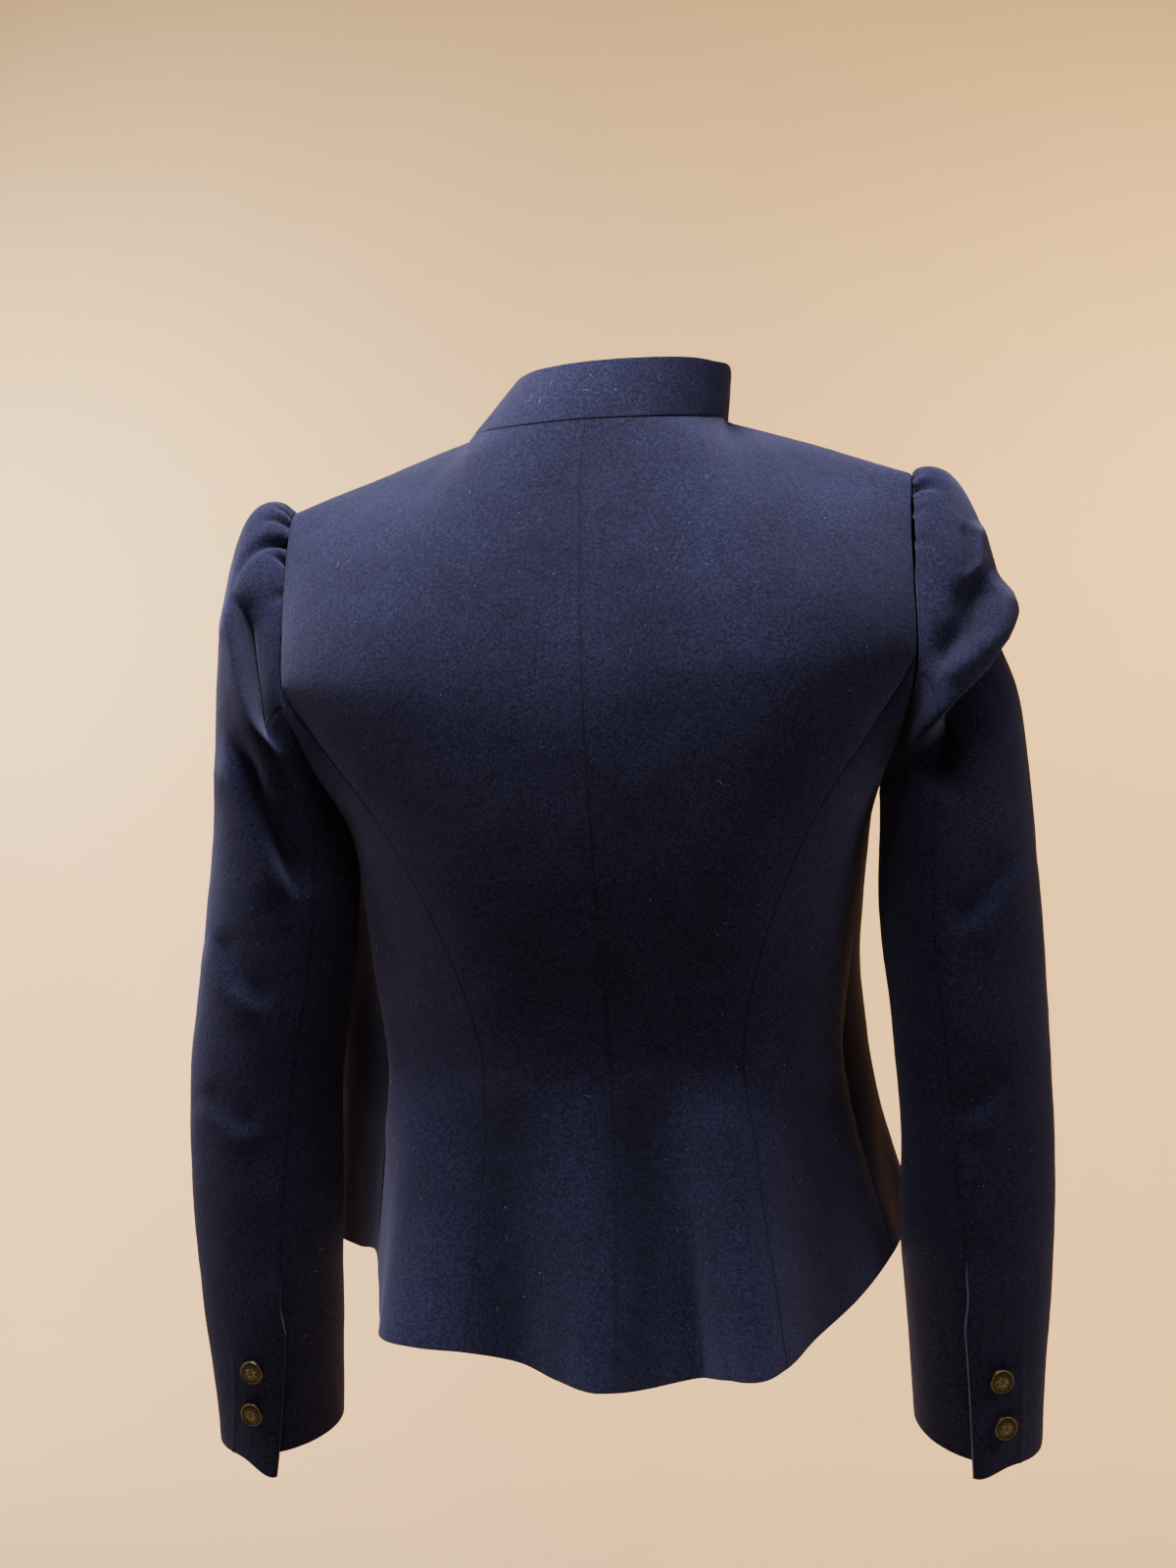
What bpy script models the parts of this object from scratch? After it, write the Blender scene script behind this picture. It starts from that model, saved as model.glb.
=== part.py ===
"""A fitted wool jacket in its worn form, hollow, with nothing inside it.

Metres. +Z is up, +Y is the wearer's back, -Y the front, +X the wearer's left. The origin is on the neck's
centre line at the level of the nape seam. Each panel is a cloth wall: its outer face follows the functions
below, its inner face lies one wall deeper, and neighbours are parted by the seam gap.
"""

import math
from collections import namedtuple

import bpy
import numpy as np

# Driving sizes in metres
WALL = 0.002
COLLAR_WALL = 0.003
SEAM_GAP = 0.0003
COLLAR_HEIGHT = 0.037
CAP_END = 0.235
SLEEVE_HEM = 0.628
VENT_TOP = 0.530
MEAN_SLEEVE_RADIUS = 0.040

SEAM_SHIFT = 0.62 * SEAM_GAP

LEFT, RIGHT = 1, -1

# The back from waist (rise 0) to the level where the princess seam meets the armhole (rise 1).
# heading is the way the cloth runs at the princess seam, in degrees from straight across.
BackLevel = namedtuple("BackLevel", "rise back_y back_z seam_x seam_y seam_z heading")
BACK_LEVELS = (
    BackLevel(-0.20, 0.0920, -0.430, 0.0820, 0.0840, -0.430, -24),
    BackLevel(0.00, 0.0870, -0.388, 0.0780, 0.0800, -0.388, -24),
    BackLevel(0.20, 0.0955, -0.341, 0.0865, 0.0865, -0.340, -30),
    BackLevel(0.42, 0.1095, -0.289, 0.1070, 0.0900, -0.285, -38),
    BackLevel(0.66, 0.1190, -0.234, 0.1375, 0.0860, -0.229, -46),
    BackLevel(0.85, 0.1215, -0.190, 0.1680, 0.0775, -0.187, -52),
    BackLevel(1.00, 0.1200, -0.155, 0.1925, 0.0710, -0.150, -55),
    BackLevel(1.20, 0.1130, -0.110, 0.1930, 0.0570, -0.107, -50),
)

# The side seam from waist (rise 0) to the underarm (rise 1). front_heading is the front panel's there, and
# front_swing is how far the front stands out past its plain arc. The wearer's left front swings out further.
SideLevel = namedtuple("SideLevel", "rise x y z front_heading front_swing")
SIDE_LEVELS = {
    LEFT: (
        SideLevel(0.00, 0.154, 0.000, -0.390, -50, 0.036),
        SideLevel(0.20, 0.157, 0.000, -0.350, -58, 0.041),
        SideLevel(0.45, 0.161, 0.000, -0.305, -70, 0.047),
        SideLevel(0.70, 0.163, 0.001, -0.262, -82, 0.044),
        SideLevel(1.00, 0.163, 0.000, -0.218, -92, 0.022),
    ),
    RIGHT: (
        SideLevel(0.00, 0.134, 0.000, -0.390, -62, 0.000),
        SideLevel(0.20, 0.140, 0.000, -0.350, -72, 0.000),
        SideLevel(0.45, 0.150, 0.000, -0.305, -82, 0.000),
        SideLevel(0.70, 0.157, 0.001, -0.262, -88, 0.000),
        SideLevel(1.00, 0.163, 0.000, -0.218, -92, 0.000),
    ),
}
SIDE_HEADING = -92
SWING_HEADING = -16
SWING_PEAK = 0.45
ARMHOLE_BLEND = 0.6

# The front edges, hanging open: from the waist (rise 0) past the underarm level (1) to the chest (1.5).
EdgeLevel = namedtuple("EdgeLevel", "rise x y z")
CHEST_EDGE = (
    EdgeLevel(1.00, 0.027, -0.120, -0.216),
    EdgeLevel(1.25, 0.022, -0.111, -0.188),
    EdgeLevel(1.50, 0.018, -0.100, -0.160),
)
EDGE_LEVELS = {
    LEFT: (
        EdgeLevel(0.00, 0.098, -0.162, -0.387),
        EdgeLevel(0.20, 0.081, -0.155, -0.344),
        EdgeLevel(0.45, 0.059, -0.145, -0.297),
        EdgeLevel(0.70, 0.041, -0.134, -0.258),
        *CHEST_EDGE,
    ),
    RIGHT: (
        EdgeLevel(0.00, 0.072, -0.150, -0.388),
        EdgeLevel(0.20, 0.062, -0.146, -0.345),
        EdgeLevel(0.45, 0.048, -0.138, -0.297),
        EdgeLevel(0.70, 0.036, -0.130, -0.258),
        *CHEST_EDGE,
    ),
}
EDGE_HEADING = -178
CHEST_HEADING = -150
CHEST_RISE = 1.5

# The armhole, from the shoulder point (0) down the back (90) to the underarm (180) and up the front.
ArmholePoint = namedtuple("ArmholePoint", "angle x y z")
ARMHOLE = (
    ArmholePoint(0, 0.1940, 0.006, -0.039),
    ArmholePoint(30, 0.1935, 0.032, -0.061),
    ArmholePoint(60, 0.1930, 0.056, -0.104),
    ArmholePoint(90, 0.1925, 0.071, -0.150),
    ArmholePoint(120, 0.1860, 0.066, -0.180),
    ArmholePoint(150, 0.1730, 0.040, -0.207),
    ArmholePoint(180, 0.1630, 0.000, -0.218),
    ArmholePoint(210, 0.1640, -0.036, -0.207),
    ArmholePoint(240, 0.1670, -0.060, -0.180),
    ArmholePoint(270, 0.1720, -0.068, -0.145),
    ArmholePoint(300, 0.1800, -0.060, -0.104),
    ArmholePoint(330, 0.1890, -0.030, -0.061),
)

# The neck seam, from the centre back (0) over the shoulder seam (90) to the front edge.
NeckPoint = namedtuple("NeckPoint", "angle x y z")
NECK = (
    NeckPoint(0, 0.0000, 0.0675, 0.000),
    NeckPoint(30, 0.0390, 0.0600, 0.000),
    NeckPoint(60, 0.0680, 0.0350, 0.001),
    NeckPoint(90, 0.0800, 0.0000, 0.001),
    NeckPoint(120, 0.0720, -0.0290, -0.022),
    NeckPoint(150, 0.0450, -0.0520, -0.053),
    NeckPoint(172, 0.0120, -0.0630, -0.073),
)
NECK_END = 172

# The peplum hem, from the right front edge round the back to the left front edge. Each crest and trough
# of a flute is a row, and a row on a seam names it.
HemPoint = namedtuple("HemPoint", "seam x y z")
HEM = (
    HemPoint("edge right", -0.090, -0.170, -0.516),
    HemPoint("", -0.135, -0.162, -0.517),
    HemPoint("", -0.168, -0.132, -0.518),
    HemPoint("", -0.176, -0.088, -0.519),
    HemPoint("", -0.166, -0.045, -0.520),
    HemPoint("side right", -0.160, 0.000, -0.521),
    HemPoint("", -0.151, 0.032, -0.528),
    HemPoint("", -0.137, 0.065, -0.538),
    HemPoint("", -0.118, 0.098, -0.548),
    HemPoint("princess right", -0.0985, 0.130, -0.557),
    HemPoint("crest", -0.085, 0.140, -0.562),
    HemPoint("", -0.069, 0.127, -0.564),
    HemPoint("trough", -0.050, 0.113, -0.566),
    HemPoint("", -0.022, 0.132, -0.566),
    HemPoint("centre", 0.000, 0.141, -0.566),
    HemPoint("crest", 0.012, 0.142, -0.566),
    HemPoint("", 0.038, 0.128, -0.562),
    HemPoint("trough", 0.064, 0.116, -0.554),
    HemPoint("princess left", 0.0925, 0.120, -0.547),
    HemPoint("", 0.120, 0.119, -0.545),
    HemPoint("crest", 0.143, 0.097, -0.545),
    HemPoint("", 0.154, 0.060, -0.537),
    HemPoint("", 0.162, 0.028, -0.524),
    HemPoint("side left", 0.170, 0.000, -0.514),
    HemPoint("", 0.191, -0.037, -0.518),
    HemPoint("", 0.213, -0.072, -0.519),
    HemPoint("", 0.222, -0.107, -0.519),
    HemPoint("", 0.204, -0.146, -0.519),
    HemPoint("", 0.163, -0.169, -0.518),
    HemPoint("edge left", 0.112, -0.175, -0.517),
)
FLARE_SOFTNESS = 0.10
EARLY_FLARE = 0.55

# The garment's top leans to the wearer's right above this level
LEAN_LEVEL = -0.05
LEAN_SHARE = 0.09
LEAN_SOFTNESS = 0.02

# The sleeves below the cap: drop is the depth below the nape, wide and deep are half widths across and
# front to back, tilt is how much lower the back of the ring hangs, back_seam is the seam's angle.
SleeveRing = namedtuple("SleeveRing", "drop x y wide deep tilt back_seam")
SLEEVE_RINGS = {
    LEFT: (
        SleeveRing(0.200, 0.2095, 0.003, 0.0445, 0.062, 0.000, 132),
        SleeveRing(0.235, 0.2115, 0.004, 0.0455, 0.060, 0.000, 131),
        SleeveRing(0.300, 0.2185, 0.006, 0.0485, 0.056, 0.000, 130),
        SleeveRing(0.400, 0.2345, 0.004, 0.0490, 0.052, 0.002, 124),
        SleeveRing(0.465, 0.2400, -0.002, 0.0485, 0.050, 0.004, 117),
        SleeveRing(0.530, 0.2430, -0.010, 0.0460, 0.047, 0.006, 110),
        SleeveRing(0.590, 0.2440, -0.019, 0.0425, 0.043, 0.007, 101),
        SleeveRing(0.628, 0.2460, -0.025, 0.0415, 0.040, 0.008, 91),
    ),
    RIGHT: (
        SleeveRing(0.200, 0.2105, 0.003, 0.0455, 0.062, 0.000, 104),
        SleeveRing(0.235, 0.2115, 0.004, 0.0460, 0.060, 0.000, 106),
        SleeveRing(0.300, 0.2100, 0.006, 0.0495, 0.056, 0.000, 108),
        SleeveRing(0.388, 0.2137, 0.004, 0.0475, 0.052, 0.002, 109),
        SleeveRing(0.443, 0.2144, 0.000, 0.0473, 0.050, 0.004, 107),
        SleeveRing(0.523, 0.2110, -0.009, 0.0470, 0.047, 0.006, 98),
        SleeveRing(0.572, 0.2085, -0.016, 0.0435, 0.043, 0.007, 93),
        SleeveRing(0.628, 0.2060, -0.025, 0.0395, 0.040, 0.008, 90),
    ),
}
# How much lower the cuff's edge hangs all round, and how much more at its outer side, in metres
HEM_FALL = {LEFT: (0.003, 0.004), RIGHT: (0.010, 0.010)}
HEM_FALL_START = 0.50
HEM_FALL_ANGLE = 20
FRONT_SEAM = -125
CAP_BACK_SEAM = 100
CAP_LANDING = 1.1
SURFACE_STEP = 0.01

# How the sleeve head leaves the armhole seam: the direction and its strength, by armhole angle.
Spring = namedtuple("Spring", "angle out back up")
SPRING = {
    LEFT: (
        Spring(0, 0.150, 0.000, 0.120),
        Spring(45, 0.140, 0.060, 0.060),
        Spring(90, 0.080, 0.055, -0.040),
        Spring(135, 0.035, 0.015, -0.030),
        Spring(180, 0.016, 0.000, -0.012),
        Spring(225, 0.035, -0.015, -0.030),
        Spring(270, 0.080, -0.050, -0.040),
        Spring(315, 0.140, -0.055, 0.060),
    ),
    RIGHT: (
        Spring(0, 0.140, 0.000, 0.060),
        Spring(45, 0.130, 0.055, 0.030),
        Spring(90, 0.080, 0.055, -0.040),
        Spring(135, 0.035, 0.015, -0.030),
        Spring(180, 0.016, 0.000, -0.012),
        Spring(225, 0.035, -0.015, -0.030),
        Spring(270, 0.080, -0.050, -0.040),
        Spring(315, 0.130, -0.050, 0.030),
    ),
}

# Gathers of the sleeve head
GATHERS = 10
GATHER_SPAN = 50
GATHER_FADE = 12
GATHER_HEIGHT = 0.0021
GATHER_PEAK = 0.008


# Folds of the draped sleeve heads: a ridge where height is positive, a trough where it is negative. The
# path is (across, level) in metres; each fold runs round the outside to the front as well.
Fold = namedtuple("Fold", "name width height path")
FOLDS = {
    LEFT: (
        Fold("pocket", 0.013, -0.008, ((0.222, -0.098), (0.212, -0.143), (0.204, -0.170))),
        Fold("lip", 0.008, 0.006, ((0.236, -0.110), (0.226, -0.150), (0.210, -0.184))),
        Fold("hollow", 0.012, -0.008, ((0.229, -0.186), (0.215, -0.224), (0.200, -0.258))),
        Fold("forearm crest", 0.016, 0.004, ((0.244, -0.215), (0.228, -0.260), (0.212, -0.290))),
    ),
    RIGHT: (
        Fold("upper trough", 0.011, -0.006, ((0.236, -0.105), (0.228, -0.136), (0.210, -0.154))),
        Fold("roll", 0.014, 0.012, ((0.252, -0.121), (0.232, -0.148), (0.203, -0.182))),
        Fold("under the roll", 0.011, -0.007, ((0.252, -0.150), (0.229, -0.180), (0.204, -0.207))),
        Fold("hollow", 0.014, -0.008, ((0.214, -0.190), (0.194, -0.222))),
    ),
}
FOLD_ROOT = 0.014
FRONT_FOLDS = 0.8
FOLD_TURN = 0.6
FOLD_TURN_SPAN = 0.9


def hermite(start, start_pull, end, end_pull, t):
    t2, t3 = t * t, t * t * t
    return (
        (2 * t3 - 3 * t2 + 1) * start
        + (t3 - 2 * t2 + t) * start_pull
        + (3 * t2 - 2 * t3) * end
        + (t3 - t2) * end_pull
    )


def smooth(t):
    t = np.clip(t, 0.0, 1.0)
    return t * t * (3.0 - 2.0 * t)


def along(rows, at):
    """Every column of a table after its first, read on a smooth curve at the places `at` of the first."""
    table = np.array(rows, float)
    places, values = table[:, 0], table[:, 1:]
    slopes = np.gradient(values, places, axis=0)
    at = np.asarray(at, float)
    i = np.clip(np.searchsorted(places, at, side="right") - 1, 0, len(places) - 2)
    width = (places[i + 1] - places[i])[..., None]
    t = (at - places[i])[..., None] / width
    return hermite(values[i], slopes[i] * width, values[i + 1], slopes[i + 1] * width, t)


def wrapped(rows):
    """A table round a full turn, with one row repeated before and after it."""
    before = rows[-1]._replace(angle=rows[-1].angle - 360)
    after = [row._replace(angle=row.angle + 360) for row in rows[:2]]
    return (before, *rows, *after)


def armhole(angle):
    return along(wrapped(ARMHOLE), np.asarray(angle, float) % 360)


def neck(angle):
    mirrored = NECK[1]._replace(angle=-NECK[1].angle, x=-NECK[1].x)
    return along((mirrored, *NECK), angle)


def shoulder(s):
    """The shoulder seam, from the neck (0) to the armhole (1)."""
    s = np.asarray(s, float)[..., None]
    return neck(90) + (armhole(0) - neck(90)) * s


def heading_vector(degrees):
    radians = np.radians(degrees)
    return np.stack([np.cos(radians), np.sin(radians)], axis=-1)


def arc(start, start_heading, end, end_heading, u):
    """A level arc from start to end, both (x, y, z), leaving and arriving on the given headings."""
    chord = np.hypot(*(end - start)[:2])
    turn = math.radians(abs(end_heading - start_heading))
    pull = chord / math.cos(turn / 4) ** 2
    u = np.asarray(u, float)[:, None]
    level = hermite(
        start[:2], pull * heading_vector(start_heading), end[:2], pull * heading_vector(end_heading), u
    )
    return np.hstack([level, start[2] + (end[2] - start[2]) * u * u])


def back_row(side, rise, u):
    """The same for both sides."""
    y, z, seam_x, seam_y, seam_z, heading = along(BACK_LEVELS, rise)
    return arc(np.array([0.0, y, z]), 0.0, np.array([seam_x, seam_y, seam_z]), heading, u)


def side_back_row(side, rise, u):
    _, _, x, y, z, heading = along(BACK_LEVELS, rise)
    seam = along(SIDE_LEVELS[side], rise)
    row = arc(np.array([x, y, z]), heading, seam[:3], SIDE_HEADING, u)
    below_armhole = armhole(90 + 90 * np.asarray(u))
    top = arc(armhole(90), along(BACK_LEVELS, 1.0)[5], armhole(180), SIDE_HEADING, u)
    return row + (below_armhole - top) * smooth((rise - ARMHOLE_BLEND) / (1 - ARMHOLE_BLEND))


def swing(side, rise, u):
    """How far a front level stands out past its arc: most at SWING_PEAK, nothing at both ends."""
    height = along(SIDE_LEVELS[side], min(rise, 1.0))[4] * smooth((CHEST_RISE - rise) / (CHEST_RISE - 1))
    rest = np.where(u < SWING_PEAK, u / SWING_PEAK, (1 - u) / (1 - SWING_PEAK))
    level = height * smooth(rest)[:, None] * heading_vector(SWING_HEADING)
    return np.hstack([level, 0 * level[:, :1]])


def front_row(side, rise, u):
    """A front level, from the side seam or, past rise 1, from the armhole to the front edge."""
    u = np.asarray(u, float)
    edge = along(EDGE_LEVELS[side], rise)
    if rise <= 1:
        seam = along(SIDE_LEVELS[side], rise)
        return arc(seam[:3], seam[3], edge, EDGE_HEADING, u) + swing(side, rise, u)
    share = (rise - 1) / (CHEST_RISE - 1)
    heading = SIDE_HEADING + (CHEST_HEADING - SIDE_HEADING) * share
    return arc(armhole(180 + 90 * share), heading, edge, EDGE_HEADING, u) + swing(side, rise, u)


# The yoke's row arrives at its top seam with this much lean over the body and this much climb
Arrival = namedtuple("Arrival", "lean climb")
AT_NAPE = Arrival(0.35, 0.90)
AT_THROAT = Arrival(0.45, 0.83)
AT_SHOULDER = Arrival(0.90, 0.28)
NECK_SHARE = 0.45
RISE_STEP = 0.04
CORNER_EASE = 0.30
EASE_STEPS = np.linspace(-1, 1, 9)


def back_top(u):
    u = np.asarray(u, float)
    on_neck = neck(90 * np.clip(u / NECK_SHARE, 0, 1))
    on_shoulder = shoulder(np.clip((u - NECK_SHARE) / (1 - NECK_SHARE), 0, 1))
    return np.where((u <= NECK_SHARE)[:, None], on_neck, on_shoulder)


def front_top(u):
    u = np.asarray(u, float)
    on_neck = neck(90 + (NECK_END - 90) * np.clip((u - (1 - NECK_SHARE)) / NECK_SHARE, 0, 1))
    on_shoulder = shoulder(1 - np.clip(u / (1 - NECK_SHARE), 0, 1))
    return np.where((u >= 1 - NECK_SHARE)[:, None], on_neck, on_shoulder)


def eased(top, u, w):
    """A top line as a row below it follows it: its corner is rounded off, the more the lower the row."""
    reach = CORNER_EASE * (1 - w) * 4 * u * (1 - u)
    return np.mean([top(u + reach * step) for step in EASE_STEPS], axis=0)


def rising(start, start_pull, end, lean, climb, w):
    """One row of a yoke: each point climbs from `start` to `end`, arriving with the given lean."""
    reach = np.linalg.norm(end - start, axis=1)[:, None]
    arriving = np.stack([np.zeros_like(lean), lean, climb], axis=1) * reach
    return hermite(start, start_pull * reach, end, arriving, w)


def blended(first, last, share):
    """Two arrivals mixed: a lean and a climb for each share."""
    return first.lean + (last.lean - first.lean) * share, first.climb + (last.climb - first.climb) * share


def unit(vectors):
    return vectors / np.linalg.norm(vectors, axis=-1, keepdims=True)


def back_yoke_row(side, w, u):
    """The back above the princess seams' ends, up to the neck and shoulder seams at w 1."""
    u = np.asarray(u, float)
    start = back_row(side, 1.0, u)
    upward = unit(back_row(side, 1 + RISE_STEP / 2, u) - back_row(side, 1 - RISE_STEP / 2, u))
    lean, climb = blended(AT_NAPE, AT_SHOULDER, smooth(u / NECK_SHARE))
    row = rising(start, upward, eased(back_top, u, w), -lean, climb, w)
    edge = rising(start[-1:], upward[-1:], armhole([0]), -lean[-1:], climb[-1:], w)
    return row + (armhole(90 * (1 - w)) - edge) * (u * u)[:, None]


def front_yoke_row(side, w, u):
    """The front above the chest, up to the shoulder and neck seams at w 1."""
    u = np.asarray(u, float)
    start = front_row(side, CHEST_RISE, u)
    upward = unit(front_row(side, CHEST_RISE, u) - front_row(side, CHEST_RISE - 2 * RISE_STEP, u))
    lean, climb = blended(AT_SHOULDER, AT_THROAT, smooth((u - (1 - NECK_SHARE)) / NECK_SHARE))
    row = rising(start, upward, eased(front_top, u, w), lean, climb, w)
    edge = rising(start[:1], upward[:1], armhole([0]), lean[:1], climb[:1], w)
    return row + (armhole(270 + 90 * w) - edge) * ((1 - u) ** 2)[:, None]


def hem_row(first, last, u):
    """The hem between two named seams, u running from the first to the last."""
    points = np.array([row[1:] for row in HEM])
    steps = np.linalg.norm(np.diff(points, axis=0), axis=1)
    places = np.concatenate([[0.0], np.cumsum(steps)])
    seams = [row.seam for row in HEM]
    start, end = places[seams.index(first)], places[seams.index(last)]
    rows = np.column_stack([places, points])
    return along(rows, start + (end - start) * np.asarray(u, float))


def flare_row(waist, hem, drop):
    """The peplum at `drop` of its length below the waist, opening ever more towards the hem."""
    soft = math.hypot(drop, FLARE_SOFTNESS) - FLARE_SOFTNESS
    full = math.hypot(1.0, FLARE_SOFTNESS) - FLARE_SOFTNESS
    opening = EARLY_FLARE * soft / full + (1 - EARLY_FLARE) * drop * drop
    row = waist + (hem - waist) * opening
    row[:, 2] = waist[:, 2] + (hem[:, 2] - waist[:, 2]) * drop
    return row


def side_name(side):
    return "left" if side == LEFT else "right"


def mirrored_to(points, side):
    return points * np.array([side, 1.0, 1.0])


def settled(points):
    """The worn pose: the neck and shoulders lean a little to the wearer's right."""
    above = np.maximum(points[:, 2] - LEAN_LEVEL, 0.0)
    lean = LEAN_SHARE * above * above / (above + LEAN_SOFTNESS)
    return points - np.stack([lean, 0 * lean, 0 * lean], axis=1)


def peplum_rows(side, waist_row, first, last, drops, u):
    waist = mirrored_to(waist_row(side, 0.0, u), side)
    seams = [seam if seam == "centre" else f"{seam} {side_name(side)}" for seam in (first, last)]
    hem = hem_row(*seams, u)
    return [flare_row(waist, hem, drop) for drop in drops]


FLARE_DROPS = (1.0, 0.82, 0.64, 0.46, 0.28, 0.12)
RISES = (0.0, 0.10, 0.22, 0.35, 0.50, 0.65, 0.78, 0.90, 1.0)
YOKE_STEPS = (0.16, 0.34, 0.52, 0.70, 0.86, 1.0)
CHEST_STEPS = (1.12, 1.25, 1.38, 1.5)
NECK_COLUMNS = 7
BACK_COLUMNS = np.concatenate(
    [np.linspace(0, NECK_SHARE, NECK_COLUMNS), np.linspace(NECK_SHARE, 1, 6)[1:]]
)
SIDE_COLUMNS = np.linspace(0, 1, 8)
FRONT_COLUMNS = np.concatenate(
    [np.linspace(0, 1 - NECK_SHARE, 6), np.linspace(1 - NECK_SHARE, 1, NECK_COLUMNS)[1:]]
)


def back_panel(side):
    u = BACK_COLUMNS
    rows = peplum_rows(side, back_row, "centre", "princess", FLARE_DROPS, u)
    rows += [mirrored_to(back_row(side, rise, u), side) for rise in RISES]
    rows += [mirrored_to(back_yoke_row(side, w, u), side) for w in YOKE_STEPS]
    return [(u, settled(row)) for row in rows]


def side_back_panel(side):
    u = SIDE_COLUMNS
    rows = peplum_rows(side, side_back_row, "princess", "side", FLARE_DROPS, u)
    rows += [mirrored_to(side_back_row(side, rise, u), side) for rise in RISES]
    return [(u, settled(row)) for row in rows]


def front_panel(side):
    u = FRONT_COLUMNS
    rows = peplum_rows(side, front_row, "side", "edge", FLARE_DROPS, u)
    rows += [mirrored_to(front_row(side, rise, u), side) for rise in RISES + CHEST_STEPS]
    rows += [mirrored_to(front_yoke_row(side, w, u), side) for w in YOKE_STEPS]
    return [(u, settled(row)) for row in rows]


# The collar, a cone that leans in all round
COLLAR_TOP_SCALE = 0.84
COLLAR_TOP_FORWARD = 0.004
COLLAR_TOP_LEAN = -0.017
COLLAR_FRONT_EASE = 0.35
COLLAR_FRONT_FALL = 0.005
COLLAR_SIDE_FALL = 0.004
HALF_COLLAR = np.concatenate(
    [np.linspace(0, 90, NECK_COLUMNS), np.linspace(90, NECK_END, NECK_COLUMNS)[1:]]
)
COLLAR_ANGLES = np.concatenate([-HALF_COLLAR[:0:-1], HALF_COLLAR])
COLLAR_STEPS = (0.0, 0.33, 0.67, 1.0)


def collar_row(height, angle):
    side = np.where(angle < 0, -1.0, 1.0)
    base = neck(np.abs(angle)) * np.stack([side, 1 + 0 * side, 1 + 0 * side], axis=1)
    base = settled(base)
    front = smooth((np.abs(angle) - 90) / 80)
    inward = (1 - COLLAR_TOP_SCALE) * height * (1 - COLLAR_FRONT_EASE * front)
    row = base.copy()
    row[:, 0] += COLLAR_TOP_LEAN * height - base[:, 0] * inward
    row[:, 1] += -COLLAR_TOP_FORWARD * height - base[:, 1] * inward
    beside = np.exp(-((np.abs(angle) - 82) / 28) ** 2)
    row[:, 2] += SEAM_GAP + height * (COLLAR_HEIGHT - COLLAR_FRONT_FALL * front - COLLAR_SIDE_FALL * beside)
    return row


def ring(side, angle, drop):
    x, y, wide, deep, tilt, _ = np.moveaxis(along(SLEEVE_RINGS[side], drop), -1, 0)
    turn = np.radians(angle)
    all_round, outer = HEM_FALL[side]
    fall = all_round + outer * np.cos(turn - math.radians(HEM_FALL_ANGLE))
    fall = fall * smooth((drop - HEM_FALL_START) / (SLEEVE_HEM - HEM_FALL_START))
    return np.stack(
        [x + wide * np.cos(turn), y + deep * np.sin(turn), -drop - fall - tilt * np.sin(turn)], axis=-1
    )


def cap(side, angle, t):
    """The sleeve head, from the armhole seam (t 0) to the first full ring (t 1)."""
    start = armhole(angle) + np.array([2 * SEAM_GAP, 0, 0])
    end = ring(side, angle, np.full_like(angle, CAP_END))
    below = ring(side, angle, np.full_like(angle, CAP_END + SURFACE_STEP))
    reach = np.linalg.norm(end - start, axis=-1)[..., None]
    leaving = along(wrapped(SPRING[side]), angle % 360)
    return hermite(start, leaving, end, unit(below - end) * reach * CAP_LANDING, t[..., None])


def sleeve_surface(side, angle, place):
    """place runs 0 to 1 over the cap, then on by the depth below it in metres."""
    angle = np.asarray(angle, float)
    place = np.broadcast_to(np.asarray(place, float), angle.shape)
    on_cap = cap(side, angle, np.clip(place, 0, 1))
    on_tube = ring(side, angle, CAP_END + np.maximum(place - 1, 0))
    return np.where((place <= 1)[..., None], on_cap, on_tube)


def sleeve_normal(side, angle, place):
    """Outward, for the wearer's left; the caller mirrors it."""
    around = sleeve_surface(side, angle + 1, place) - sleeve_surface(side, angle - 1, place)
    higher = sleeve_surface(side, angle, np.maximum(place - SURFACE_STEP, 0))
    down = sleeve_surface(side, angle, place + SURFACE_STEP) - higher
    return unit(np.cross(down, around))


def gather_push(angle, place, length):
    """Short tucks that radiate from the seam over the shoulder, dying out in about four centimetres."""
    reach = length / GATHER_PEAK
    window = smooth((GATHER_SPAN - np.abs(angle)) / GATHER_FADE + 0.5)
    wave = np.cos(np.radians(angle * 360 * GATHERS / (2 * GATHER_SPAN)))
    return GATHER_HEIGHT * reach * np.exp(1 - reach) * window * wave * (place <= 1)


def distance_to(path, x, z):
    """How far each point lies from a path of straight steps in the plane across and up."""
    spot = np.stack([x, z], axis=-1)
    nearest = np.full(x.shape, np.inf)
    for start, end in zip(path, path[1:]):
        start, step = np.array(start), np.subtract(end, start)
        share = np.clip(((spot - start) @ step) / (step @ step), 0, 1)
        nearest = np.minimum(nearest, np.linalg.norm(spot - start - share[..., None] * step, axis=-1))
    return nearest


def fold_push(side, points, normals, length):
    """The folds' height at each point, fading out at the armhole seam."""
    facing_back = smooth((FOLD_TURN + normals[:, 1]) / FOLD_TURN_SPAN)
    facing_front = FRONT_FOLDS * smooth((FOLD_TURN - normals[:, 1]) / FOLD_TURN_SPAN)
    facing = np.maximum(facing_back, facing_front) * smooth(length / FOLD_ROOT)
    push = np.zeros(len(points))
    for fold in FOLDS[side]:
        away = distance_to(fold.path, points[:, 0], points[:, 2]) / fold.width
        push += fold.height * np.exp(-away * away)
    return push * facing


def back_seam(side, place):
    place = np.asarray(place, float)
    on_tube = along(SLEEVE_RINGS[side], CAP_END + np.maximum(place - 1, 0))[..., 5]
    start = CAP_BACK_SEAM + (along(SLEEVE_RINGS[side], CAP_END)[5] - CAP_BACK_SEAM) * smooth(place)
    return np.where(place < 1, start, on_tube)


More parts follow.
